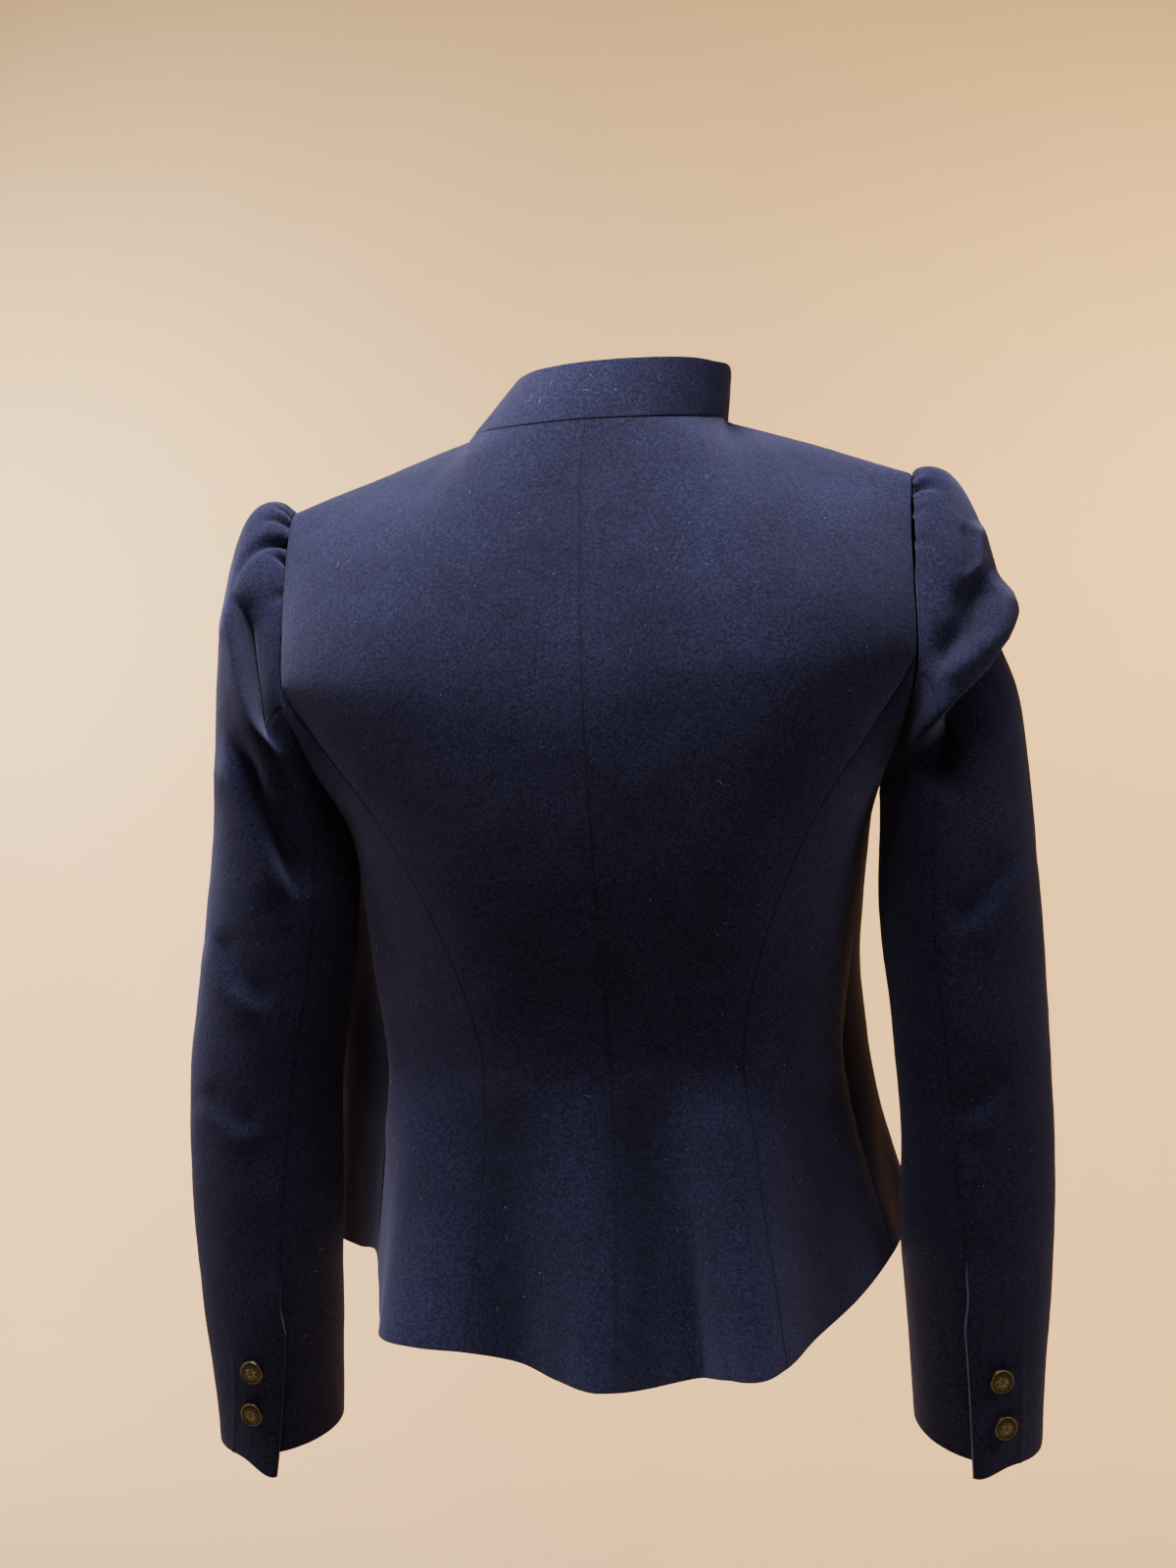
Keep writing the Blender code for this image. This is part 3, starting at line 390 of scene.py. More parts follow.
def rising(start, start_pull, end, lean, climb, w):
    """One row of a yoke: each point climbs from `start` to `end`, arriving with the given lean."""
    reach = np.linalg.norm(end - start, axis=1)[:, None]
    arriving = np.stack([np.zeros_like(lean), lean, climb], axis=1) * reach
    return hermite(start, start_pull * reach, end, arriving, w)


def blended(first, last, share):
    """Two arrivals mixed: a lean and a climb for each share."""
    return first.lean + (last.lean - first.lean) * share, first.climb + (last.climb - first.climb) * share


def unit(vectors):
    return vectors / np.linalg.norm(vectors, axis=-1, keepdims=True)


def back_yoke_row(side, w, u):
    """The back above the princess seams' ends, up to the neck and shoulder seams at w 1."""
    u = np.asarray(u, float)
    start = back_row(side, 1.0, u)
    upward = unit(back_row(side, 1 + RISE_STEP / 2, u) - back_row(side, 1 - RISE_STEP / 2, u))
    lean, climb = blended(AT_NAPE, AT_SHOULDER, smooth(u / NECK_SHARE))
    row = rising(start, upward, eased(back_top, u, w), -lean, climb, w)
    edge = rising(start[-1:], upward[-1:], armhole([0]), -lean[-1:], climb[-1:], w)
    return row + (armhole(90 * (1 - w)) - edge) * (u * u)[:, None]


def front_yoke_row(side, w, u):
    """The front above the chest, up to the shoulder and neck seams at w 1."""
    u = np.asarray(u, float)
    start = front_row(side, CHEST_RISE, u)
    upward = unit(front_row(side, CHEST_RISE, u) - front_row(side, CHEST_RISE - 2 * RISE_STEP, u))
    lean, climb = blended(AT_SHOULDER, AT_THROAT, smooth((u - (1 - NECK_SHARE)) / NECK_SHARE))
    row = rising(start, upward, eased(front_top, u, w), lean, climb, w)
    edge = rising(start[:1], upward[:1], armhole([0]), lean[:1], climb[:1], w)
    return row + (armhole(270 + 90 * w) - edge) * ((1 - u) ** 2)[:, None]


def hem_row(first, last, u):
    """The hem between two named seams, u running from the first to the last."""
    points = np.array([row[1:] for row in HEM])
    steps = np.linalg.norm(np.diff(points, axis=0), axis=1)
    places = np.concatenate([[0.0], np.cumsum(steps)])
    seams = [row.seam for row in HEM]
    start, end = places[seams.index(first)], places[seams.index(last)]
    rows = np.column_stack([places, points])
    return along(rows, start + (end - start) * np.asarray(u, float))


def flare_row(waist, hem, drop):
    """The peplum at `drop` of its length below the waist, opening ever more towards the hem."""
    soft = math.hypot(drop, FLARE_SOFTNESS) - FLARE_SOFTNESS
    full = math.hypot(1.0, FLARE_SOFTNESS) - FLARE_SOFTNESS
    opening = EARLY_FLARE * soft / full + (1 - EARLY_FLARE) * drop * drop
    row = waist + (hem - waist) * opening
    row[:, 2] = waist[:, 2] + (hem[:, 2] - waist[:, 2]) * drop
    return row


def side_name(side):
    return "left" if side == LEFT else "right"


def mirrored_to(points, side):
    return points * np.array([side, 1.0, 1.0])


def settled(points):
    """The worn pose: the neck and shoulders lean a little to the wearer's right."""
    above = np.maximum(points[:, 2] - LEAN_LEVEL, 0.0)
    lean = LEAN_SHARE * above * above / (above + LEAN_SOFTNESS)
    return points - np.stack([lean, 0 * lean, 0 * lean], axis=1)


def peplum_rows(side, waist_row, first, last, drops, u):
    waist = mirrored_to(waist_row(side, 0.0, u), side)
    seams = [seam if seam == "centre" else f"{seam} {side_name(side)}" for seam in (first, last)]
    hem = hem_row(*seams, u)
    return [flare_row(waist, hem, drop) for drop in drops]


# The collar, a cone that leans in all round
COLLAR_TOP_SCALE = 0.84
COLLAR_TOP_FORWARD = 0.004
COLLAR_TOP_LEAN = -0.017
COLLAR_FRONT_EASE = 0.35
COLLAR_FRONT_FALL = 0.005
COLLAR_SIDE_FALL = 0.004
COLLAR_FRONT_START, COLLAR_FRONT_SPAN = 90, 80
COLLAR_SIDE_ANGLE, COLLAR_SIDE_SPAN = 82, 28


def collar_row(height, angle):
    """The collar at a share of its height, at each angle round the neck."""
    side = np.where(angle < 0, -1.0, 1.0)
    base = neck(np.abs(angle)) * np.stack([side, 1 + 0 * side, 1 + 0 * side], axis=1)
    base = settled(base)
    front = smooth((np.abs(angle) - COLLAR_FRONT_START) / COLLAR_FRONT_SPAN)
    inward = (1 - COLLAR_TOP_SCALE) * height * (1 - COLLAR_FRONT_EASE * front)
    row = base.copy()
    row[:, 0] += COLLAR_TOP_LEAN * height - base[:, 0] * inward
    row[:, 1] += -COLLAR_TOP_FORWARD * height - base[:, 1] * inward
    beside = np.exp(-((np.abs(angle) - COLLAR_SIDE_ANGLE) / COLLAR_SIDE_SPAN) ** 2)
    row[:, 2] += SEAM_GAP + height * (COLLAR_HEIGHT - COLLAR_FRONT_FALL * front - COLLAR_SIDE_FALL * beside)
    return row


def ring(side, angle, drop):
    """A level ring of the sleeve, at a depth below the nape."""
    x, y, wide, deep, tilt, _ = np.moveaxis(along(SLEEVE_RINGS[side], drop), -1, 0)
    turn = np.radians(angle)
    all_round, outer = HEM_FALL[side]
    fall = all_round + outer * np.cos(turn - math.radians(HEM_FALL_ANGLE))
    fall = fall * smooth((drop - HEM_FALL_START) / (SLEEVE_HEM - HEM_FALL_START))
    level = -drop - fall - tilt * np.sin(turn)
    return np.stack([x + wide * np.cos(turn), y + deep * np.sin(turn), level], axis=-1)


def cap(side, angle, t):
    """The sleeve head, from the armhole seam (t 0) to the first full ring (t 1)."""
    start = armhole(angle) + np.array([2 * SEAM_GAP, 0, 0])
    end = ring(side, angle, np.full_like(angle, CAP_END))
    below = ring(side, angle, np.full_like(angle, CAP_END + SURFACE_STEP))
    reach = np.linalg.norm(end - start, axis=-1)[..., None]
    leaving = along(wrapped(SPRING[side]), angle % 360)
    return hermite(start, leaving, end, unit(below - end) * reach * CAP_LANDING, t[..., None])


def sleeve_surface(side, angle, place):
    """place runs 0 to 1 over the cap, then on by the depth below it in metres."""
    angle = np.asarray(angle, float)
    place = np.broadcast_to(np.asarray(place, float), angle.shape)
    on_cap = cap(side, angle, np.clip(place, 0, 1))
    on_tube = ring(side, angle, CAP_END + np.maximum(place - 1, 0))
    return np.where((place <= 1)[..., None], on_cap, on_tube)


def sleeve_normal(side, angle, place):
    """Outward, for the wearer's left; the caller mirrors it."""
    around = sleeve_surface(side, angle + 1, place) - sleeve_surface(side, angle - 1, place)
    higher = sleeve_surface(side, angle, np.maximum(place - SURFACE_STEP, 0))
    down = sleeve_surface(side, angle, place + SURFACE_STEP) - higher
    return unit(np.cross(down, around))


def back_seam(side, place):
    place = np.asarray(place, float)
    on_tube = along(SLEEVE_RINGS[side], CAP_END + np.maximum(place - 1, 0))[..., 5]
    start = CAP_BACK_SEAM + (along(SLEEVE_RINGS[side], CAP_END)[5] - CAP_BACK_SEAM) * smooth(place)
    return np.where(place < 1, start, on_tube)


# The flap over the cuff's vent: how far it overlaps, in degrees, and its lift, width and hanging point
FLAP_OVERLAP = 5.0
FLAP_LIFT = 0.0032
FLAP_WIDTH = 0.016
FLAP_POINT = {LEFT: 0.014, RIGHT: 0.010}
FLAP_POINT_DROP = 0.585
FLAP_START = 0.025


def flap(side, angle, place, points, normals):
    """The vent flap: near its free edge the upper sleeve lies over the under sleeve, and hangs lower."""
    drop = CAP_END + np.maximum(place - 1, 0)
    from_edge = np.radians(back_seam(side, place) + FLAP_OVERLAP - angle) * MEAN_SLEEVE_RADIUS / FLAP_WIDTH
    near = np.exp(-from_edge * from_edge)
    lift = FLAP_LIFT * near * smooth((drop - VENT_TOP) / FLAP_START + 1)
    lower = FLAP_POINT[side] * near * smooth((drop - FLAP_POINT_DROP) / (SLEEVE_HEM - FLAP_POINT_DROP))
    return points + normals * lift[:, None] - np.stack([0 * lower, 0 * lower, lower], axis=1)


# The fine surfaces of the cloth

# Distances from a border at which every grid has a line, so that seams and edges are modelled round
EDGE_OFFSETS = (0.0, 0.0003, 0.0007, 0.0012, 0.0018, 0.0026, 0.0038, 0.0055)
EDGE_ROUND = 0.0008
SEAM_DEPTH = 0.00038
FREE_EDGE_DEPTH = 0.4
PUCKER_HEIGHT = 0.00022
PUCKER_REACH = 0.006
PUCKER_PITCH = 0.007
# How far from a sewn border the colour is darkened: painted shade for the seam's groove
SEAM_SHADE_REACH = 0.0008
SEAM_ALLOWANCE = 0.0014

# Uneven swell of the worn cloth: how high, and over what distance
Swell = namedtuple("Swell", "height pitch shift")
SWELLS = (Swell(0.0012, 0.085, 3.1), Swell(0.0005, 0.032, 7.7), Swell(0.00016, 0.011, 1.3))


def border_places(length, count):
    """Distances along a line of that length: close together by both ends, even between them."""
    edge = np.array(EDGE_OFFSETS)
    middle = np.linspace(edge[-1], length - edge[-1], count - 2 * len(edge) + 2)[1:-1]
    return np.concatenate([edge, middle, length - edge[::-1]])


def run_of(points):
    return np.concatenate([[0.0], np.cumsum(np.linalg.norm(np.diff(points, axis=0), axis=1))])


def spread(line_at, first, last, count, probes=120, finer=None):
    """Parameters from first to last at the border places of the line, closer together where asked."""
    params = np.linspace(first, last, probes)
    run = run_of(line_at(params))
    if finer is not None:
        middles = (params[1:] + params[:-1]) / 2
        run = np.concatenate([[0.0], np.cumsum(np.diff(run) * finer(middles))])
    return np.interp(border_places(run[-1], count), run, params)


def noise_at(points, pitch, shift):
    """Smooth noise from -1 to 1 at each point of a grid, the same for cloths that meet."""
    flat = points.reshape(-1, 3) / pitch + shift
    values = [noise.noise(Vector(spot)) for spot in flat.tolist()]
    return np.array(values).reshape(points.shape[:-1])


def grid_normals(grid, flip):
    across = np.gradient(grid, axis=1)
    upward = np.gradient(grid, axis=0)
    normals = np.cross(across, upward)
    lengths = np.linalg.norm(normals, axis=-1, keepdims=True)
    normals = normals / np.maximum(lengths, 1e-15)
    return -normals if flip else normals


def rounded(distance, radius=EDGE_ROUND, depth=SEAM_DEPTH):
    """How deep a rounded edge lies below the face at each distance from the border."""
    left = np.clip(1 - distance / radius, 0, 1)
    return depth * (1 - np.sqrt(1 - left * left))


# The peplum's soft flutes and the hollows between them: where they lie across, half width and height
Flute = namedtuple("Flute", "name x width height")
FLUTES = (
    Flute("left flute", 0.130, 0.026, 0.0065),
    Flute("left hollow", 0.068, 0.026, -0.0050),
    Flute("right hollow", -0.016, 0.018, -0.0055),
    Flute("right flute", -0.066, 0.026, 0.0070),
    Flute("far right hollow", -0.122, 0.022, -0.0055),
)
FLUTE_START = -0.392
FLUTE_LENGTH = 0.042
FLUTE_TURN = 0.5
# How much darker the flutes' hollows are coloured, per metre of depth: painted shade
FLUTE_PAINTED_SHADE = 75


def flute_push(points, normals):
    """How far the flutes push the cloth out, on the side that faces back."""
    x, z = points[..., 0], points[..., 2]
    push = sum(flute.height * np.exp(-((x - flute.x) / flute.width) ** 2) for flute in FLUTES)
    return push * smooth((FLUTE_START - z) / FLUTE_LENGTH) * smooth(normals[..., 1] / FLUTE_TURN)


class Shell:
    """A cloth piece as a grid of outer points, with its distances to the four borders."""

    def __init__(self, name, grid, flip, wall=WALL, free=(), shadow=None):
        self.name = name
        self.wall = wall
        self.flip = flip
        self.free = free
        self.grid = grid
        self.shadow = np.zeros(grid.shape[:2]) if shadow is None else shadow
        across = np.linalg.norm(np.diff(grid, axis=1), axis=2)
        upward = np.linalg.norm(np.diff(grid, axis=0), axis=2)
        rows, columns = grid.shape[:2]
        run_across = np.hstack([np.zeros((rows, 1)), np.cumsum(across, axis=1)])
        run_upward = np.vstack([np.zeros((1, columns)), np.cumsum(upward, axis=0)])
        self.to = {
            "start": run_across,
            "end": run_across[:, -1:] - run_across,
            "first": run_upward,
            "last": run_upward[-1:] - run_upward,
        }

    def faces(self):
        """The outer face, the inner face behind it and the rim that joins them."""
        rows, columns = self.grid.shape[:2]
        index = np.arange(rows * columns).reshape(rows, columns)
        a, b = index[:-1, :-1], index[:-1, 1:]
        c, d = index[1:, 1:], index[1:, :-1]
        outer = np.stack([a, b, c, d], axis=-1).reshape(-1, 4)
        if self.flip:
            outer = outer[:, ::-1]
        count = rows * columns
        inner = outer[:, ::-1] + count
        rim = np.concatenate([index[0], index[1:, -1], index[-1, -2::-1], index[-2:0:-1, 0]])
        follow = np.roll(rim, -1)
        wall = np.stack([follow, rim, rim + count, follow + count], axis=-1)
        if self.flip:
            wall = wall[:, ::-1]
        return np.vstack([outer, inner, wall])

    def tuck_under(self, inner):
        """The seam allowance: past a sewn border the inner wall runs on, and no light comes through."""
        borders = (
            ("start", np.s_[:, 0], np.s_[:, 2]),
            ("end", np.s_[:, -1], np.s_[:, -3]),
            ("first", np.s_[0], np.s_[2]),
            ("last", np.s_[-1], np.s_[-3]),
        )
        for border, edge, next_in in borders:
            if border not in self.free:
                inner[edge] += unit(inner[edge] - inner[next_in]) * SEAM_ALLOWANCE

    def build(self, finish):
        """The closed mesh: sunk seams, rounded edges, puckers and swells, with attributes of painted shade
        for seams and hollows.
        """
        normals = grid_normals(self.grid, self.flip)
        dip = np.zeros(self.grid.shape[:2])
        near = np.full(self.grid.shape[:2], 1.0)
        lift_inner = np.zeros(self.grid.shape[:2])
        for border, distance in self.to.items():
            dip = np.maximum(dip, rounded(distance))
            if border in self.free:
                edge = rounded(distance, self.wall / 2, self.wall * FREE_EDGE_DEPTH)
                lift_inner = np.maximum(lift_inner, edge)
            else:
                near = np.minimum(near, distance)
        # Painted shade: the colour darkens near each sewn border, where the seam's groove lies in shade
        self.seam = np.exp(-near / SEAM_SHADE_REACH)
        puckers = PUCKER_HEIGHT * noise_at(self.grid, PUCKER_PITCH, 5.5) * np.exp(-near / PUCKER_REACH)
        flutes = flute_push(self.grid, normals)
        # Painted shade in the flutes' hollows, joined to the painted shade of the folds
        self.shadow = np.maximum(self.shadow, FLUTE_PAINTED_SHADE * np.maximum(-flutes, 0))
        rise = puckers - dip + flutes
        for swell in SWELLS:
            rise = rise + swell.height * noise_at(self.grid, swell.pitch, swell.shift)
        outer = self.grid + normals * rise[..., None]
        inner = self.grid + normals * (rise + dip - self.wall + lift_inner)[..., None]
        self.tuck_under(inner)
        self.outer = outer
        self.normals = normals
        points = np.vstack([outer.reshape(-1, 3), inner.reshape(-1, 3)])
        made = linked(self.name, smooth_mesh(self.name, points.tolist(), self.faces().tolist(), finish))
        # Both attributes darken the colour: painted shade along the seams and in the hollows of folds, tucks
        # and flutes
        for label, values in (("seam", self.seam), ("fold", self.shadow)):
            layer = made.data.attributes.new(label, "FLOAT", "POINT")
            layer.data.foreach_set("value", np.tile(values.ravel(), 2).astype(np.float32))
        return made


def smooth_mesh(name, points, faces, finish):
    mesh = bpy.data.meshes.new(name)
    mesh.from_pydata(points, [], faces)
    mesh.materials.append(finish)
    mesh.shade_smooth()
    return mesh


def linked(name, data):
    made = bpy.data.objects.new(name, data)
    bpy.context.scene.collection.objects.link(made)
    return made


# A panel runs from the hem (-1) over the waist (0) to the underarm (1) and on to its top seam.
def level_row(side, at, u, kind):
    if kind == "side_back":
        return body_row(side, at, u, side_back_row, "princess", "side")
    if kind == "back":
        if at <= 1:
            return body_row(side, at, u, back_row, "centre", "princess")
        return settled(mirrored_to(back_yoke_row(side, at - 1, u), side))
    if at <= CHEST_RISE:
        return body_row(side, at, u, front_row, "side", "edge")
    return settled(mirrored_to(front_yoke_row(side, at - CHEST_RISE, u), side))


def body_row(side, at, u, row_at, first, last):
    if at >= 0:
        return settled(mirrored_to(row_at(side, at, u), side))
    return settled(peplum_rows(side, row_at, first, last, [-at], u)[0])


TOPS = {"back": 2.0, "side_back": 1.0, "front": CHEST_RISE + 1.0}
PANEL_ROWS = {"back": 230, "side_back": 170, "front": 230}
PANEL_COLUMNS = {"back": 66, "side_back": 44, "front": 70}
MIDDLE = np.array([0.5])


def panel_grid(side, kind):
    def middle_line(levels):
        return np.vstack([level_row(side, at, MIDDLE, kind) for at in levels])

    rows, levels = [], []
    for at in spread(middle_line, -1.0, TOPS[kind], PANEL_ROWS[kind]):
        u = spread(lambda u: level_row(side, at, u, kind), 0.0, 1.0, PANEL_COLUMNS[kind], 60)
        rows.append(level_row(side, at, u, kind))
        levels.append(at)
    return np.array(rows) if kind == "side_back" else ironed(np.array(rows), np.array(levels))


# Where the yoke rows begin, the cloth is eased up and down so that no ridge shows, but not at its borders
YOKE_START = 1.0
IRON_SPAN = 0.14
IRON_PASSES = 90
IRON_BORDER = 0.018


def ironed(grid, levels):
    run = np.cumsum(np.linalg.norm(np.diff(grid, axis=1, prepend=grid[:, :1]), axis=2), axis=1)
    inside = smooth(np.minimum(run, run[:, -1:] - run) / IRON_BORDER)
    share = 0.25 * inside * np.exp(-((levels - YOKE_START) / IRON_SPAN) ** 2)[:, None]
    for _ in range(IRON_PASSES):
        bend = grid[:-2] + grid[2:] - 2 * grid[1:-1]
        grid[1:-1] += share[1:-1, :, None] * bend
    return grid


COLLAR_ROWS = 34
COLLAR_COLUMNS = 190


def collar_grid():
    def edge(angle):
        return collar_row(0.0, angle)

    angle = spread(edge, -NECK_END, NECK_END, COLLAR_COLUMNS)
    heights = border_places(COLLAR_HEIGHT, COLLAR_ROWS) / COLLAR_HEIGHT
    return np.array([collar_row(height, angle) for height in heights])


# The sleeve head's tucks: the angle on the armhole, how long and deep they are, their half width, and how far
# they slant, in degrees, over their length. Those at the front, which the photo doesn't show, are alike.
Tuck = namedtuple("Tuck", "angle length depth width slant")
TUCKS = {
    LEFT: (
        Tuck(53, 0.014, 0.0018, 0.0030, 2),
        Tuck(39, 0.017, 0.0036, 0.0022, -3),
        Tuck(29, 0.040, 0.0078, 0.0036, 10),
        Tuck(17, 0.022, 0.0048, 0.0026, 3),
        Tuck(9, 0.014, 0.0034, 0.0018, 2),
        Tuck(3, 0.013, 0.0030, 0.0016, 1),
        Tuck(-3, 0.016, 0.0030, 0.0020, -1),
        Tuck(-11, 0.030, 0.0044, 0.0028, -5),
        Tuck(-21, 0.016, 0.0030, 0.0022, -2),
        Tuck(-32, 0.038, 0.0062, 0.0034, -8),
        Tuck(-44, 0.018, 0.0024, 0.0026, -3),
    ),
    RIGHT: (
        Tuck(47, 0.016, 0.0020, 0.0030, 2),
        Tuck(34, 0.012, 0.0020, 0.0024, 1),
        Tuck(20, 0.024, 0.0060, 0.0030, 3),
        Tuck(12, 0.010, 0.0018, 0.0022, 0),
        Tuck(3, 0.022, 0.0058, 0.0030, -2),
        Tuck(-8, 0.030, 0.0042, 0.0028, -4),
        Tuck(-20, 0.016, 0.0028, 0.0022, -2),
        Tuck(-31, 0.036, 0.0056, 0.0034, -7),
        Tuck(-43, 0.018, 0.0024, 0.0026, -3),
    ),
}
# The tucks lie within this angle of the shoulder. They widen and fade out along their length.
GATHER_SPAN = 50
GATHER_REACH, GATHER_FADE = 12, 18
TUCK_RADIUS = 0.085
TUCK_WIDENING = 0.8
TUCK_ROOT, TUCK_ROOT_RISE = 0.62, 5
HEAD_PUFF = 0.0028
HEAD_PUFF_PEAK = 0.011
# How dark the tucks' dimples are coloured: painted shade
TUCK_PAINTED_SHADE = 110
TUCK_PAINTED_SHADE_FOCUS = 3

# The creases of the draped sleeves. The path is (across, level). Beside a path that runs down, the cloth on
# the outer side stands up and on the inner side sinks, with a step between them as sharp as the step's width.
# The next to last column is painted shade: how much darker the colour is made on the inner side, in the
# hollow.
Crease = namedtuple("Crease", "name outer outer_width inner inner_width step shadow path")
CREASES = {
    LEFT: (
        Crease("long fold", 0.0085, 0.012, -0.0150, 0.013, 0.0012, 0.92,
               ((0.2270, -0.088), (0.2215, -0.1020), (0.2132, -0.1428), (0.2050, -0.1717), (0.1950, -0.192))),
        Crease("second fold", 0.0050, 0.020, -0.0110, 0.013, 0.0030, 0.45,
               ((0.2340, -0.176), (0.2267, -0.1906), (0.2151, -0.2264), (0.2021, -0.2605), (0.1920, -0.285))),
        Crease("elbow crease", 0.0028, 0.016, -0.0040, 0.014, 0.0040, 0.20,
               ((0.2560, -0.300), (0.2380, -0.330), (0.2150, -0.352))),
        Crease("forearm crease", 0.0018, 0.018, -0.0026, 0.016, 0.0050, 0.12,
               ((0.2700, -0.400), (0.2450, -0.420), (0.2250, -0.428))),
    ),
    RIGHT: (
        Crease("shoulder step", 0.0036, 0.010, -0.0024, 0.006, 0.0020, 0.40,
               ((0.2255, -0.072), (0.2275, -0.0830), (0.2275, -0.0970), (0.2245, -0.109))),
        Crease("roll", 0.0100, 0.014, -0.0095, 0.016, 0.0040, 0.40,
               ((0.2330, -0.102), (0.2334, -0.1180), (0.2270, -0.1400), (0.2100, -0.1570), (0.1990, -0.166))),
        Crease("elbow crease", 0.0026, 0.018, -0.0040, 0.014, 0.0040, 0.20,
               ((0.2480, -0.270), (0.2280, -0.300), (0.2060, -0.322))),
        Crease("forearm crease", 0.0018, 0.018, -0.0026, 0.016, 0.0050, 0.12,
               ((0.2400, -0.405), (0.2200, -0.425), (0.2000, -0.436))),
    ),
}
# Creases whose raised cloth lies above them, such as the roll's sharp lower edge: their paths run up
UNDERCUTS = {
    LEFT: (),
    RIGHT: (
        Crease("under the roll", 0.0070, 0.013, -0.0140, 0.018, 0.0014, 0.90,
               ((0.176, -0.224), (0.1870, -0.2100), (0.1980, -0.1990), (0.2300, -0.1630), (0.2510, -0.1270),
                (0.2620, -0.1090), (0.2710, -0.0950))),
        Crease("hollow", 0.0000, 0.010, -0.0080, 0.022, 0.0080, 0.85,
               ((0.1859, -0.2346), (0.1927, -0.2145), (0.2075, -0.1954), (0.2263, -0.1743))),
    ),
}
# A crease's painted shade is this much narrower than its hollow, and both fade out over this share at either
# end
PAINTED_SHADE_WIDTH = 0.95
CREASE_END = 0.25
# Creases begin a little below the seam, and those at the front are shallower
FOLD_ROOT = 0.014
FRONT_FOLDS = 0.8
FOLD_TURN = 0.6
FOLD_TURN_SPAN = 0.9


def from_path(path, x, z):
    """For each point: the distance to a path, positive on its outer side, and the share run along it."""
    spot = np.stack([x, z], axis=-1)
    nearest = np.full(x.shape, np.inf)
    signed = np.zeros(x.shape)
    share_run = np.zeros(x.shape)
    lengths = [math.dist(a, b) for a, b in zip(path, path[1:])]
    done = 0.0
    for start, end, length in zip(path, path[1:], lengths):
        start, step = np.array(start), np.subtract(end, start)
        share = np.clip(((spot - start) @ step) / (step @ step), 0, 1)
        away = spot - start - share[..., None] * step
        distance = np.linalg.norm(away, axis=-1)
        outer = np.sign(away[..., 1] * step[0] - away[..., 0] * step[1])
        closer = distance < nearest
        nearest = np.where(closer, distance, nearest)
        signed = np.where(closer, distance * outer, signed)
        share_run = np.where(closer, (done + share * length) / sum(lengths), share_run)
        done += length
    return signed, share_run


def crease_form(crease, x, z):
    """The height of a crease at each point, and how much of its painted shade lies there."""
    signed, share = from_path(crease.path, x, z)
    fade = smooth(share / CREASE_END) * smooth((1 - share) / CREASE_END)
    side = 0.5 + 0.5 * np.tanh(signed / crease.step)
    outer = crease.outer * np.exp(-(signed / crease.outer_width) ** 2)
    inner = crease.inner * np.exp(-(signed / crease.inner_width) ** 2)
    # Painted shade on the inner side of the crease
    dark = crease.shadow * np.exp(-(signed / (PAINTED_SHADE_WIDTH * crease.inner_width)) ** 2)
    return fade * (outer * side + inner * (1 - side)), fade * dark * (1 - side)


def drape(side, points, normals, length):
    """How far the creases push the cloth out, and how much painted shade darkens their hollows."""
    facing_back = smooth((FOLD_TURN + normals[..., 1]) / FOLD_TURN_SPAN)
    facing_front = FRONT_FOLDS * smooth((FOLD_TURN - normals[..., 1]) / FOLD_TURN_SPAN)
    facing = np.maximum(facing_back, facing_front) * smooth(length / FOLD_ROOT)
    x, z = points[..., 0], points[..., 2]
    forms = [crease_form(crease, x, z) for crease in CREASES[side] + UNDERCUTS[side]]
    return sum(push for push, _ in forms) * facing, np.max([dark for _, dark in forms], axis=0) * facing


def tucks(side, angle, length):
    """The gathered head: a soft puff by the seam, cut by uneven tucks. Their push, and the painted shade in
    them.
    """
    reach = length / HEAD_PUFF_PEAK
    window = smooth((GATHER_SPAN + GATHER_REACH - np.abs(angle)) / GATHER_FADE)
    push = HEAD_PUFF * reach * np.exp(1 - reach) * window
    dark = np.zeros_like(push)
    for tuck in TUCKS[side]:
        along_tuck = length / tuck.length
        centre = tuck.angle + tuck.slant * along_tuck
        half_width = tuck.width * (1 + TUCK_WIDENING * along_tuck)
        across = np.radians(angle - centre) * TUCK_RADIUS / half_width
        fade = smooth(1 - along_tuck) * smooth(TUCK_ROOT + along_tuck * TUCK_ROOT_RISE)
        push = push - tuck.depth * np.exp(-across * across) * fade
        # Painted shade along the tuck
        shade = TUCK_PAINTED_SHADE * tuck.depth * np.exp(-TUCK_PAINTED_SHADE_FOCUS * across * across)
        dark = np.maximum(dark, shade * fade)
    return push, dark


# The facing inside the cuff's vent shows as a faint ridge along its inner edge
FACING_FROM_EDGE = 0.031
FACING_TOP = 0.552
FACING_RIDGE = 0.0005
FACING_WIDTH = 0.0016
FACING_FADE = 0.02


def facing_push(from_edge, drop):
    away = (np.radians(from_edge) * MEAN_SLEEVE_RADIUS - FACING_FROM_EDGE) / FACING_WIDTH
    return FACING_RIDGE * np.exp(-away * away) * smooth((drop - FACING_TOP) / FACING_FADE)


# The sleeves' grids: a line down the middle of each piece spaces its rows. In the sleeve's head the rows lie
# closer together, and so do the upper sleeve's columns by the gathers.
SLEEVE_ROWS = 300
SLEEVE_COLUMNS = {"upper_sleeve": 150, "under_sleeve": 50}
MIDDLE_ANGLE = {"upper_sleeve": 20.0, "under_sleeve": 190.0}
Finer = namedtuple("Finer", "more start start_span end end_span")
HEAD_ROWS = Finer(0.9, 0.02, 0.06, 0.75, 0.4)
GATHER_COLUMNS = Finer(1.4, 62, 16, 0.9, 0.5)


